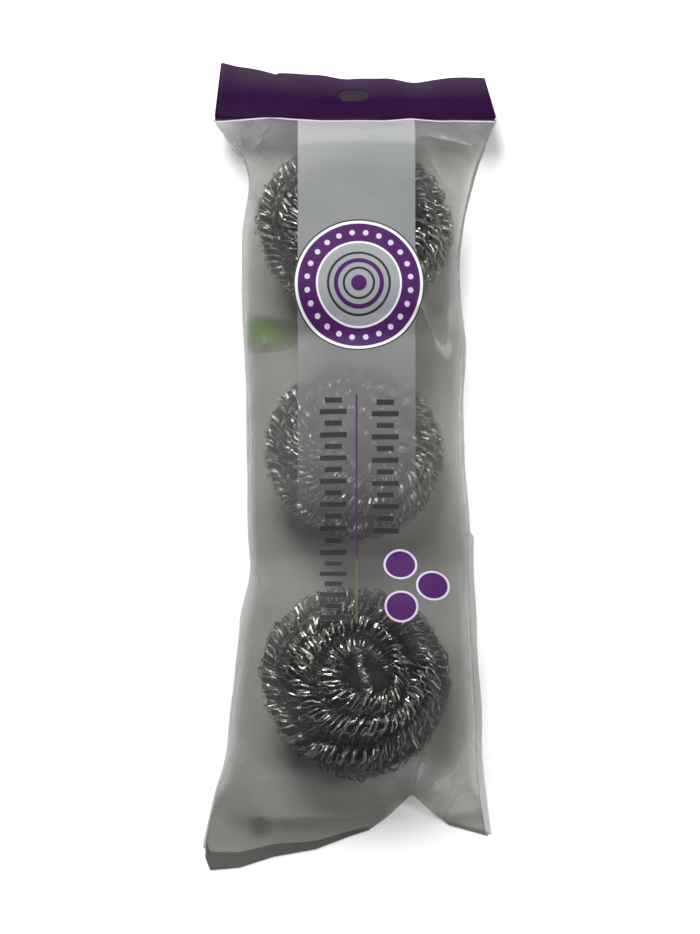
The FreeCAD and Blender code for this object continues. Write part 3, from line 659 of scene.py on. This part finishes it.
def film_grid(rows, tail_rows, columns, front):
    """Outer face of the front or the back film."""
    angle = np.linspace(0, np.pi, columns)[None]
    panel = np.sort(np.concatenate([across_shares(angle, BACK_FULLNESS), BACK_PANEL], axis=1))
    columns = columns if front else panel.shape[1]

    def section(y):
        left, right, seam, crown, belly, fullness = (curve(FILM_Y, part, y) for part in FILM_ROWS.T[1:])
        if front:
            across = across_shares(angle, fullness)
            up = np.sin(angle) ** (2 / fullness)
        else:
            across = panel
            up = np.clip(1 - np.abs(panel) ** BACK_FULLNESS, 0, 1) ** (1 / BACK_FULLNESS)
        x = (left + right) / 2 + across * (right - left) / 2
        rise = crown - seam if front else belly - seam
        return x, seam + rise * up, up

    foot = np.full((1, columns), BOTTOM_EDGE[:, 1].mean())
    for _ in range(EDGE_ROUNDS):
        foot = bottom_edge(section(foot)[0])
    body = np.repeat(np.linspace(TOP_Y, TAIL_START_Y, rows)[:, None], columns, axis=1)
    tail = mix(TAIL_START_Y, foot, np.linspace(0, 1, tail_rows + 1)[1:, None])
    y = np.concatenate([body, tail])
    x, z, up = section(y)
    if front:
        away = ((x - TOUCH[0]) / TOUCH_REACH[0]) ** 2 + ((y - TOUCH[1]) / TOUCH_REACH[1]) ** 2
        z -= TOUCH_DEPTH * np.exp(-away)
        first = np.sin(x / RIPPLE_FIRST[0] + y / RIPPLE_FIRST[1])
        second = np.sin(y / RIPPLE_SECOND[1] - x / RIPPLE_SECOND[0])
        z += np.clip(up, 0, 1) ** SEAM_CALM * (crease_height(x, y) + RIPPLE * (first * second))
    closing = 1 - smooth_step(0, HEM_BLEND, y - bottom_edge(x))
    z = mix(z, weld_height(x) + (WELD_OFFSET if front else -WELD_OFFSET), closing)
    z = np.maximum(z, FRONT_LOWEST if front else BACK_LOWEST)
    return np.stack([x, y, z], axis=2)


# What is printed on the film, in plain shapes: places and sizes in millimetres

# Purple of the header's print, and the paler colour of the sheen painted on its upper part
HEADER_PURPLE, HEADER_PAINTED_SHEEN = (0.0132, 0.0008, 0.0215), (0.037, 0.0205, 0.042)
PURPLE, LAVENDER, CHARCOAL = (0.050, 0.010, 0.080), (0.46, 0.42, 0.52), (0.020, 0.021, 0.020)
SILVER, WHITE, OLIVE = (0.228, 0.241, 0.251), (0.60, 0.61, 0.62), (0.055, 0.085, 0.018)
GREEN = (0.16, 0.32, 0.056)
# Softness of the edges of round shapes and of bars
ROUND_EDGE, BAR_EDGE = 0.25, 0.3
STRIP_LEFT, STRIP_RIGHT, STRIP_EDGE, STRIP_COVER = -21.7, 27.1, 0.4, 0.74
STRIP_FADE_TOP, STRIP_FADE_END = 90.0, -38.0
ROUNDEL, ROUNDEL_RADIUS = (3.7, 71.7), 27.2
# Discs of the roundel from the bottom up, its rings with their half widths, its eye and its ring of dots
ROUNDEL_DISCS = ((1.0, CHARCOAL), (0.978, WHITE), (0.935, PURPLE), (0.655, WHITE), (0.625, SILVER))
ROUNDEL_RINGS = ((0.47, 0.5, CHARCOAL), (0.35, 0.9, PURPLE), (0.23, 0.5, CHARCOAL))
ROUNDEL_EYE = 0.12
DOTS, DOT_RING, DOT_RADIUS = 24, 0.795 * ROUNDEL_RADIUS, 1.15
DIVIDER_X, DIVIDER_HALF, DIVIDER_EDGE = 2.7, 0.4, 0.2
DIVIDER_TOP, DIVIDER_CHANGE, DIVIDER_END = 25.0, -45.5, -75.0
# Columns of bars: middle, top and end; then each bar's place in a step of its column, and its half width
COLUMNS = ((-6.9, 25.0, -75.0), (14.6, 25.0, -36.0))
BAR_STEP, BAR_HALF = 10.0, 1.2
WIDE_BAR, NARROW_BAR = (2.5, 5.6), (7.5, 3.6)
BADGE_DISCS = ((20.8, -48.0), (34.2, -57.5), (21.2, -67.5))
BADGE_RADIUS, BADGE_RIM = 7.0, 0.9
# Lower edge of the header's print: it drops away from one place, rises round another, and has a pale line
# painted as a highlight on the film's edge
EDGE_DROP_X, EDGE_DROP_SLOPE, EDGE_DROP = -32.8, 0.09, 1.8
EDGE_RISE_X, EDGE_RISE_SLOPE, EDGE_RISE = 25.3, 0.1, 1.1
EDGE_HIGHLIGHT_HALF = 0.3
# Leaf-like patch of the back film: middle, reach, edge and softness, limits across, and cover
LEAF, LEAF_REACH, LEAF_EDGE, LEAF_SOFT = (-39.0, 60.5), (16.129, 6.6667), 0.95, 0.8
LEAF_LEFT, LEAF_RIGHT, LEAF_SIDE_SOFT, LEAF_COVER = -42.4, 60.0, 1.6, 0.95
SPOT, SPOT_RADIUS, SPOT_SOFT, SPOT_COVER = (-36.9, -152.0), 3.0, 6.0, 0.42


def front_inks(x, y):
    """Printed areas from the bottom layer up, and a pale line painted as a highlight on the film's edge:
    coverage, colour.
    """
    fade = ((y - STRIP_FADE_END) * (1 / (STRIP_FADE_TOP - STRIP_FADE_END))).clamped()
    yield x.between(STRIP_LEFT, STRIP_RIGHT, STRIP_EDGE) * fade * STRIP_COVER, SILVER
    away = distance(x, y, ROUNDEL)
    for radius, ink in ROUNDEL_DISCS:
        yield away.below(radius * ROUNDEL_RADIUS, ROUND_EDGE), ink
    turn = (y - ROUNDEL[1]).apply("ARCTAN2", x - ROUNDEL[0])
    arc = ((turn * (DOTS / TAU)).apply("FRACT") - 0.5) * (TAU / DOTS * DOT_RING)
    dot = (arc * arc + (away - DOT_RING).apply("POWER", 2.0)).apply("SQRT")
    yield dot.below(DOT_RADIUS, ROUND_EDGE), LAVENDER
    for radius, half, ink in ROUNDEL_RINGS:
        yield (away - radius * ROUNDEL_RADIUS).size().below(half, ROUND_EDGE), ink
    yield away.below(ROUNDEL_EYE * ROUNDEL_RADIUS, ROUND_EDGE), PURPLE
    line = (x - DIVIDER_X).size().below(DIVIDER_HALF, DIVIDER_EDGE)
    yield line * y.between(DIVIDER_CHANGE, DIVIDER_TOP, BAR_EDGE), PURPLE
    yield line * y.between(DIVIDER_END, DIVIDER_CHANGE, BAR_EDGE), OLIVE
    for middle, top, end in COLUMNS:
        step = ((y - end) * (1 / BAR_STEP)).apply("FRACT") * BAR_STEP
        wide, narrow = (
            (x - middle).size().below(half, BAR_EDGE) * (step - place).size().below(BAR_HALF, BAR_EDGE)
            for place, half in (WIDE_BAR, NARROW_BAR)
        )
        yield wide.highest(narrow) * y.between(end, top, BAR_EDGE), CHARCOAL
    for place in BADGE_DISCS:
        away = distance(x, y, place)
        yield away.below(BADGE_RADIUS, ROUND_EDGE), LAVENDER
        yield away.below(BADGE_RADIUS - BADGE_RIM, ROUND_EDGE), PURPLE
    drop = ((x - EDGE_DROP_X).size() * EDGE_DROP_SLOPE).apply("MINIMUM", EDGE_DROP)
    rise = ((x - EDGE_RISE_X).size() * -EDGE_RISE_SLOPE + EDGE_RISE).highest(0.0)
    under = (y + (drop - rise)) * -1 + TOP_Y
    # Pale line under the header: a painted highlight on the film's edge
    yield under.below(EDGE_HIGHLIGHT_HALF, ROUND_EDGE), LAVENDER
    yield under.below(-EDGE_HIGHLIGHT_HALF, ROUND_EDGE), HEADER_PURPLE


def back_inks(x, y):
    leaf = distance(x, y, LEAF, LEAF_REACH).below(LEAF_EDGE, LEAF_SOFT)
    yield leaf * x.between(LEAF_LEFT, LEAF_RIGHT, LEAF_SIDE_SOFT) * LEAF_COVER, GREEN
    yield distance(x, y, SPOT).below(SPOT_RADIUS, SPOT_SOFT) * SPOT_COVER, CHARCOAL


FILM_COLOUR, FILM_TRANSMISSION, FILM_TINT = (0.325, 0.323, 0.312), 0.72, (0.885, 0.885, 0.877)
FILM_IOR, FILM_SPECULAR, FILM_LAMP_SHARE = 1.25, 0.3, 0.9
FILM_ROUGHNESS, FILM_ROUGHNESS_RANGE = 0.46, 0.12
# Grain and detail of the film's noises: haze in its colour, sheen, dents, and fine crinkles
FILM_HAZE, FILM_SHEEN, FILM_DENTS, FILM_CRINKLES = (22.0, 4.0), (9.0, 3.0), (5.0, 4.0), (1.2, 2.0)
HAZE_TONE, WELD_TONE, CRINKLE_SHARE, FILM_RELIEF = 0.88, 0.75, 0.15, (0.35, 0.6)
# Painted highlight and haze along the ridge of a sharp fold, from the height of a crease
FOLD_HIGHLIGHT, FOLD_HAZE = (0.50, 0.495, 0.48), 0.30
FOLD_GAIN, FOLD_START = 0.8, 0.4
# Places of painted shade and of painted light: middle, reach across and along, share; each fades out from its
# middle
PAINTED_SHADE_COLOUR, PAINTED_LIGHT_COLOUR = (0.13, 0.129, 0.125), (0.54, 0.53, 0.525)
PAINTED_SHADE_PLACES = (
    ((0.0, 38.0), (200.0, 26.0), 0.35), ((14.0, -42.0), (160.0, 30.0), 1.0),
    ((56.0, -88.0), (44.0, 76.0), 1.0), ((-45.0, -150.0), (46.0, 30.0), 0.62),
    ((-54.0, -88.0), (26.0, 50.0), 0.4), ((4.0, -131.0), (44.0, 20.0), 0.9),
    ((8.0, -92.0), (34.0, 26.0), 0.6),
)
PAINTED_LIGHT_PLACES = (((-44.0, 139.0), (56.0, 28.0), 1.0), ((48.0, -140.0), (24.0, 26.0), 0.8))
PLACE_EDGE, PLACE_SOFT = 0.5, 1.0
# Clear share where the film lies on steel and where it stands off, and the gap over which it changes
CLEAR_TOUCHING, CLEAR_STANDING, CLEAR_GAP = 0.99, 0.60, 14.0
# From the middle scourer to the top of the lower one the film is looser and hazier
HAZY_Y, HAZY_REACH, HAZY_FADE, HAZY_SHARE = -12.0, 52.0, 26.0, 0.55
# One in so many points of the steel is used to measure how far the film is from it
STEEL_STRIDE = 6


def film_finish(name, inks=None, tone=1.0, near_steel=True, folded=False):
    film = Finish(name)
    x, y = film.place()
    pale, dull = (tuple(share * tone * part for part in FILM_COLOUR) for share in (1.0, HAZE_TONE))
    colour = film.colour(pale, dull, film.noise(*FILM_HAZE))
    # Painted shade and painted light, in soft patches on the film
    for tint, places in ((PAINTED_SHADE_COLOUR, PAINTED_SHADE_PLACES), (PAINTED_LIGHT_COLOUR, PAINTED_LIGHT_PLACES)):
        for place, reach, share in places:
            inside = distance(x, y, place, reach).below(PLACE_EDGE, PLACE_SOFT)
            colour = film.colour(colour, tint, inside * share)
    if folded:
        # Painted highlight along the crease ridges
        fold = film.number("crease").apply("MINIMUM", 1.0)
        colour = film.colour(colour, FOLD_HIGHLIGHT, fold)
    cover = None
    for mask, ink in inks(x, y) if inks else ():
        colour = film.colour(colour, ink, mask)
        cover = cover.highest(mask) if cover else mask
    bare = cover.inverse() if cover else 1.0
    roughness = film.noise(*FILM_SHEEN) * FILM_ROUGHNESS_RANGE + FILM_ROUGHNESS
    film.set(Base_Color=colour, Roughness=roughness, IOR=FILM_IOR, Specular_IOR_Level=FILM_SPECULAR)
    film.set(Transmission_Weight=bare * FILM_TRANSMISSION)
    film.bump(film.noise(*FILM_DENTS) + film.noise(*FILM_CRINKLES) * CRINKLE_SHARE, *FILM_RELIEF)
    clear = bare * CLEAR_STANDING
    if near_steel:
        near = (film.number("steel_gap") * (-1 / CLEAR_GAP)).apply("EXPONENT")
        near = near * ((y - HAZY_Y).size().below(HAZY_REACH, HAZY_FADE) * HAZY_SHARE).inverse()
        clear = clear + bare * near * (CLEAR_TOUCHING - CLEAR_STANDING)
    if folded:
        clear = clear * (fold * FOLD_HAZE).inverse()
    film.see_through(clear, bare * FILM_LAMP_SHARE, FILM_TINT)
    return film.material


def keep_folds(piece):
    """How sharply the front film is folded at each point."""
    points = np.empty(len(piece.data.vertices) * 3, np.float32)
    piece.data.vertices.foreach_get("co", points)
    x, y = points.reshape(-1, 3).T[:2] / MM
    keep_number(piece, "crease", np.clip(FOLD_GAIN * crease_height(x, y) - FOLD_START, 0, 1))


def steel_tree(scourers):
    """Points of the steel, to be searched by place."""
    points = [vertex.co for piece in scourers for vertex in list(piece.data.vertices)[::STEEL_STRIDE]]
    tree = KDTree(len(points))
    for index, point in enumerate(points):
        tree.insert(point, index)
    tree.balance()
    return tree


def bend_at_tail(piece):
    """Bake a film piece's place into its mesh."""
    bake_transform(piece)


def film_pieces(scourers):
    tree = steel_tree(scourers)
    front_print = film_finish("front_film_print", front_inks, folded=True)
    front = slab("bag_front_film", film_grid(*FRONT_GRID, True), FILM_THICKNESS, front_print)
    keep_folds(front)
    back_print = film_finish("back_film_print", back_inks)
    back = slab("bag_back_film", film_grid(*BACK_GRID, False)[:, ::-1], FILM_THICKNESS, back_print)
    front_nodes = ("front_film", "tail_front", "header_weld", "tail_crease")
    for piece, nodes in ((front, front_nodes), (back, ("back_film", "tail_back"))):
        # How far each point is from the steel, in millimetres
        gaps = [tree.find(vertex.co)[2] / MM for vertex in piece.data.vertices]
        keep_number(piece, "steel_gap", gaps)
        bend_at_tail(piece)
        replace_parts(piece, *nodes)


# Side welds: narrow fins where the two films are fused, wavy along their edge

FIN_THICKNESS, FIN_ROWS, FIN_COLUMNS = 0.22, 300, 7
# Gap to the header, lap onto the film as a share of the width, and how low a fin may come
FIN_TOP_GAP, FIN_LAP, FIN_LOWEST = 1.0, 0.12, 0.35
FIN_END_Y = {-1: -161.0, 1: -155.0}
# Width above and below a step in the fin, the places of the step, and the waves of its edge
FIN_WIDTHS, FIN_STEP = {-1: (0.8, 0.8), 1: (0.9, 2.5)}, (-30.0, -33.0)
FIN_EDGE_WAVE, FIN_EDGE_LENGTH = 0.15, {-1: 7.0, 1: 6.0}
# Waves up and down: height, length, start
FIN_WAVES = ((0.30, 2.9, 0), (0.35, 5.3, 1))


def side_fin(name, side, material):
    y = np.linspace(TOP_Y - FIN_TOP_GAP, FIN_END_Y[side], FIN_ROWS)
    edge = curve(FILM_Y, FILM_ROWS[:, 1 if side < 0 else 2], y)
    seam = curve(FILM_Y, FILM_ROWS[:, 3], y)
    width = mix(*FIN_WIDTHS[side], smooth_step(*FIN_STEP, y))
    width = width + FIN_EDGE_WAVE * np.sin(y / FIN_EDGE_LENGTH[side])
    across = np.linspace(-FIN_LAP, 1, FIN_COLUMNS)[None]
    x = edge[:, None] + side * across * width[:, None]
    wave = sum(height * np.sin(y / length + start) for height, length, start in FIN_WAVES)
    z = seam[:, None] + wave[:, None] * np.clip(across, 0, 1) + FIN_THICKNESS / 2
    z = np.maximum(z, FIN_LOWEST)
    grid = np.stack([x, np.repeat(y[:, None], FIN_COLUMNS, axis=1), z], axis=2)
    piece = slab(name, grid if side > 0 else grid[:, ::-1], FIN_THICKNESS, material)
    bend_at_tail(piece)
    return piece


# Bottom welds: a doubled hem along the foot of each flap

HEM_POINTS, HEM_COLUMNS, HEM_THICKNESS = 90, 8, 0.12
# How far a hem stands past the film's edge and over its weld, and the height and number of its ribs
HEM_OVERHANG, HEM_RISE, HEM_RIB, HEM_RIBS = 0.25, 0.12, 0.05, 3
# Left end, right end, and the width at each
LEFT_HEM, RIGHT_HEM = (-59.3, 8.0, (8.2, 1.6)), (40.0, 57.0, (1.8, 1.8))


def hem(name, left, right, widths, material):
    x = np.linspace(left, right, HEM_POINTS)
    width = np.interp(x, (left, right), widths)
    share = np.linspace(0, 1, HEM_COLUMNS)[None]
    y = bottom_edge(x)[:, None] - HEM_OVERHANG + share * width[:, None]
    x = np.repeat(x[:, None], HEM_COLUMNS, axis=1)
    z = weld_height(x) + HEM_RISE + HEM_RIB * np.sin(share * HEM_RIBS * TAU)
    piece = slab(name, np.stack([x, y, z], axis=2), HEM_THICKNESS, material)
    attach(piece, "tail")
    return piece


# Header: two printed layers, warped, with a hang slot and an uneven cut edge

# How far the header leans down from the fold, in degrees, across its width
HEADER_TILTS = np.array((
    (-58.0, 3.0), (-46.0, 12.0), (-33.0, 20.0), (-12.0, 26.0), (0.0, 30.5), (15.0, 30.0), (27.0, 34.0),
    (42.0, 27.0), (62.0, 25.0),
))
HEADER_FOLD_Y, HEADER_FOLD_Z = 149.81, 17.0
# Side edges at the fold and at the top, and height of the cut edge across the width
HEADER_LEFT, HEADER_RIGHT = (-56.6, -53.9), (61.0, 56.4)
HEADER_HEIGHTS = np.array((
    (-57.0, 25.2), (-36.0, 24.3), (-33.4, 23.9), (-31.4, 23.0), (-29.6, 24.2), (-12.0, 23.9), (0.0, 23.2),
    (15.0, 23.6), (27.0, 22.9), (42.0, 23.6), (61.0, 22.8),
))
# Waves of the cut edge, as heights and lengths, and points on each side of the outline
CUT_WAVES, SIDE_POINTS = ((0.12, 2.3), (0.1, 3.7)), 400
# Bow of a layer at its full height, where it starts, its length, and that height
BOW, BOW_START, BOW_LENGTH, BOW_HEIGHT = 0.6, -20, 17.0, 24
SLOT_X, SLOT_RISE, SLOT_WIDTH, SLOT_HEIGHT = 1.6, 13.4, 12.6, 7.0
BACK_SLOT_SHIFT = -4.8
HEADER_THICKNESS, HEADER_LIFT = 0.22, 0.13
HEADER_COLUMNS, HEADER_RINGS = 240, 26
# Painted sheen on the upper part of the header: where it starts, over which height it fades in, and how
# patchy it is
SHEEN_START, SHEEN_HEIGHT, SHEEN_PATCHES = 11.0, 12.0, 0.5
# Painted shade on the back layer where it shows inside the front one's slot: colour, edge as a share of the
# slot, softness
SLOT_SHADE, SLOT_SHADE_EDGE, SLOT_SHADE_SOFT = (0.024, 0.018, 0.0225), 1.3, 0.1
# Grain and detail of the header's noises
HEADER_PATCH, HEADER_SHEEN, HEADER_DENTS, HEADER_CRINKLES = (14.0, 4.0), (6.0, 3.0), (7.0, 3.0), (1.0, 2.0)
HEADER_CRINKLE_SHARE, HEADER_RELIEF = 0.1, (0.4, 0.5)
HEADER_ROUGHNESS, HEADER_ROUGHNESS_RANGE = 0.44, 0.15
HEADER_IOR, HEADER_SPECULAR = 1.4, 0.05


def header_place(x, h, lift):
    """Places of points of the header's flat outline, on a layer at a lift from its middle."""
    tilt = np.radians(curve(*HEADER_TILTS.T, x))
    lift = lift + BOW * np.sin((x - BOW_START) / BOW_LENGTH) * h / BOW_HEIGHT
    y = HEADER_FOLD_Y + h * np.cos(tilt) + lift * np.sin(tilt)
    z = HEADER_FOLD_Z - h * np.sin(tilt) + lift * np.cos(tilt)
    return np.stack([x, y, z], axis=-1)


def header_outline(count):
    """Points round the header's flat outline, evenly spaced, against the clock from its right edge."""
    share = np.linspace(0, 1, SIDE_POINTS)
    right_top, left_top = (np.interp(edge[1], *HEADER_HEIGHTS.T) for edge in (HEADER_RIGHT, HEADER_LEFT))
    right = np.stack([mix(*HEADER_RIGHT, share), share * right_top], axis=1)
    top_x = mix(HEADER_RIGHT[1], HEADER_LEFT[1], share)
    ripple = sum(height * np.sin(top_x / length) for height, length in CUT_WAVES)
    top = np.stack([top_x, np.interp(top_x, *HEADER_HEIGHTS.T) + ripple], axis=1)
    left = np.stack([mix(*HEADER_LEFT, 1 - share), (1 - share) * left_top], axis=1)
    foot = np.stack([mix(HEADER_LEFT[0], HEADER_RIGHT[0], share), 0 * share], axis=1)
    line = np.concatenate([right, top[1:], left[1:], foot[1:-1]])
    length = running_length(line)
    return points_at(line, length, np.linspace(0, length[-1], count, endpoint=False))


def header_layer(name, lift, slot_rise, material):
    """Rings of points from the slot's edge out to the header's edge, on both faces of a layer."""
    count, rings = HEADER_COLUMNS, HEADER_RINGS
    turn = np.linspace(0, TAU, count, endpoint=False)
    end = np.sign(np.cos(turn)) * (np.abs(np.cos(turn)) > TINY)
    slot_x = SLOT_X + end * (SLOT_WIDTH - SLOT_HEIGHT) / 2 + SLOT_HEIGHT / 2 * np.cos(turn)
    slot_h = slot_rise + SLOT_HEIGHT / 2 * np.sin(turn)
    outline = header_outline(count)
    off_level = np.where(outline[:, 0] < SLOT_X, np.inf, np.abs(outline[:, 1] - slot_rise))
    outline = np.roll(outline, -np.argmin(off_level), axis=0)
    share = np.linspace(0, 1, rings)[:, None]
    x = mix(slot_x[None], outline[None, :, 0], share)
    h = mix(slot_h[None], outline[None, :, 1], share)
    top = header_place(x, h, lift + HEADER_THICKNESS / 2)
    low = header_place(x, h, lift - HEADER_THICKNESS / 2)
    total = rings * count
    under = np.roll(tube_faces(rings, count, 0), -1, axis=1)
    faces = [under[:, ::-1], under + total]
    inner = np.arange(count)
    for rim in (inner, total - 1 - inner):
        after = np.roll(rim, -1)
        faces.append(np.stack([rim, after, after + total, rim + total], axis=1))
    points = np.concatenate([top.reshape(-1, 3), low.reshape(-1, 3)])
    piece = make_piece(name, points, np.concatenate(faces), material)
    flat = np.stack([x, h, 0 * x], axis=-1).reshape(-1, 3)
    keep_place(piece, np.concatenate([flat, flat]))
    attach(piece, "header")
    return piece


def header_finish(name, inside):
    """Print of a header layer with painted sheen toward its top; the back one has painted shade where it
    shows inside the slot of the front one.
    """
    header = Finish(name)
    x, h = header.place()
    # Painted sheen, paler toward the top of the header
    patches = (header.noise(*HEADER_PATCH) - 0.5) * SHEEN_PATCHES
    fade = ((h - SHEEN_START) * (1 / SHEEN_HEIGHT) + patches).clamped()
    colour = header.colour(HEADER_PURPLE, HEADER_PAINTED_SHEEN, fade)
    if inside:
        # Painted shade inside the slot
        away = distance(x, h, (SLOT_X, SLOT_RISE), (SLOT_WIDTH / 2, SLOT_HEIGHT / 2))
        colour = header.colour(colour, SLOT_SHADE, away.below(SLOT_SHADE_EDGE, SLOT_SHADE_SOFT))
    roughness = header.noise(*HEADER_SHEEN) * HEADER_ROUGHNESS_RANGE + HEADER_ROUGHNESS
    header.set(Base_Color=colour, Roughness=roughness, IOR=HEADER_IOR, Specular_IOR_Level=HEADER_SPECULAR)
    crinkles = header.noise(*HEADER_CRINKLES) * HEADER_CRINKLE_SHARE
    header.bump(header.noise(*HEADER_DENTS) + crinkles, *HEADER_RELIEF)
    return header.material


# Floor, light and camera, in metres

FLOOR_REACH, FLOOR_COLOUR, FLOOR_ROUGHNESS = 3.0, (0.90, 0.90, 0.90), 0.9
WORLD_COLOUR = (0.22, 0.22, 0.22, 1)
# Name, place, size and power of each lamp, and the point that they face
LAMPS = (("key", (-0.30, 0.85, 1.00), 0.70, 26.0), ("fill", (0.95, -0.20, 1.15), 0.55, 11.0))
LAMP_TARGET = Vector((0, 0, 0.02))
VIEW_ELEVATION, VIEW_DISTANCE, VIEW_HEIGHT = 74.0, 6.0, 0.3872
VIEW_TARGET = Vector((0.0, -0.0022, 0.018))


def floor():
    mesh = bpy.data.meshes.new("floor")
    corners = [(FLOOR_REACH * x, FLOOR_REACH * y, 0) for x, y in ((-1, -1), (1, -1), (1, 1), (-1, 1))]
    mesh.from_pydata(corners, [], [(0, 1, 2, 3)])
    paper = Finish("pale_floor")
    paper.set(Base_Color=FLOOR_COLOUR, Roughness=FLOOR_ROUGHNESS)
    mesh.materials.append(paper.material)
    add_to_scene("floor", mesh)


def face(thing, place, way):
    """Put a lamp or a camera at a place, turned to a direction."""
    thing.location = place
    thing.rotation_mode = "QUATERNION"
    thing.rotation_quaternion = way.to_track_quat("-Z", "Y")


def studio():
    world = bpy.data.worlds.new("studio")
    bpy.context.scene.world = world
    world.use_nodes = True
    world.node_tree.nodes["Background"].inputs["Color"].default_value = WORLD_COLOUR
    for name, place, size, power in LAMPS:
        light = bpy.data.lights.new(name, "AREA")
        light.shape = "DISK"
        light.size = size
        light.energy = power
        face(add_to_scene(name, light), place, LAMP_TARGET - Vector(place))


def camera():
    data = bpy.data.cameras.new("photo_view")
    data.lens = data.sensor_width * VIEW_DISTANCE / VIEW_HEIGHT
    rise = math.radians(VIEW_ELEVATION)
    back = Vector((0, -math.cos(rise), math.sin(rise)))
    holder = add_to_scene("photo_view", data)
    face(holder, VIEW_TARGET + back * VIEW_DISTANCE, -back)
    bpy.context.scene.camera = holder


steel = steel_finish()
film_pieces([scourer(coil_name, steel) for coil_name in COILS])
plain_film = film_finish("weld_film", tone=WELD_TONE, near_steel=False)
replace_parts(side_fin("left_weld_fin", -1, plain_film), "left_side_weld")
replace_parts(side_fin("right_weld_fin", 1, plain_film), "right_side_weld")
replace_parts(hem("left_bottom_hem", *LEFT_HEM, plain_film), "bottom_weld_left")
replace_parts(hem("right_bottom_hem", *RIGHT_HEM, plain_film), "bottom_weld_right")
front_header = header_layer(
    "header_front_layer", HEADER_LIFT, SLOT_RISE, header_finish("header_front_print", False)
)
back_header = header_layer(
    "header_back_layer", -HEADER_LIFT, SLOT_RISE + BACK_SLOT_SHIFT, header_finish("header_back_print", True)
)
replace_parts(front_header, "header_front")
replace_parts(back_header, "header_back")
floor()
studio()
camera()
bpy.context.scene.view_settings.view_transform = "Standard"
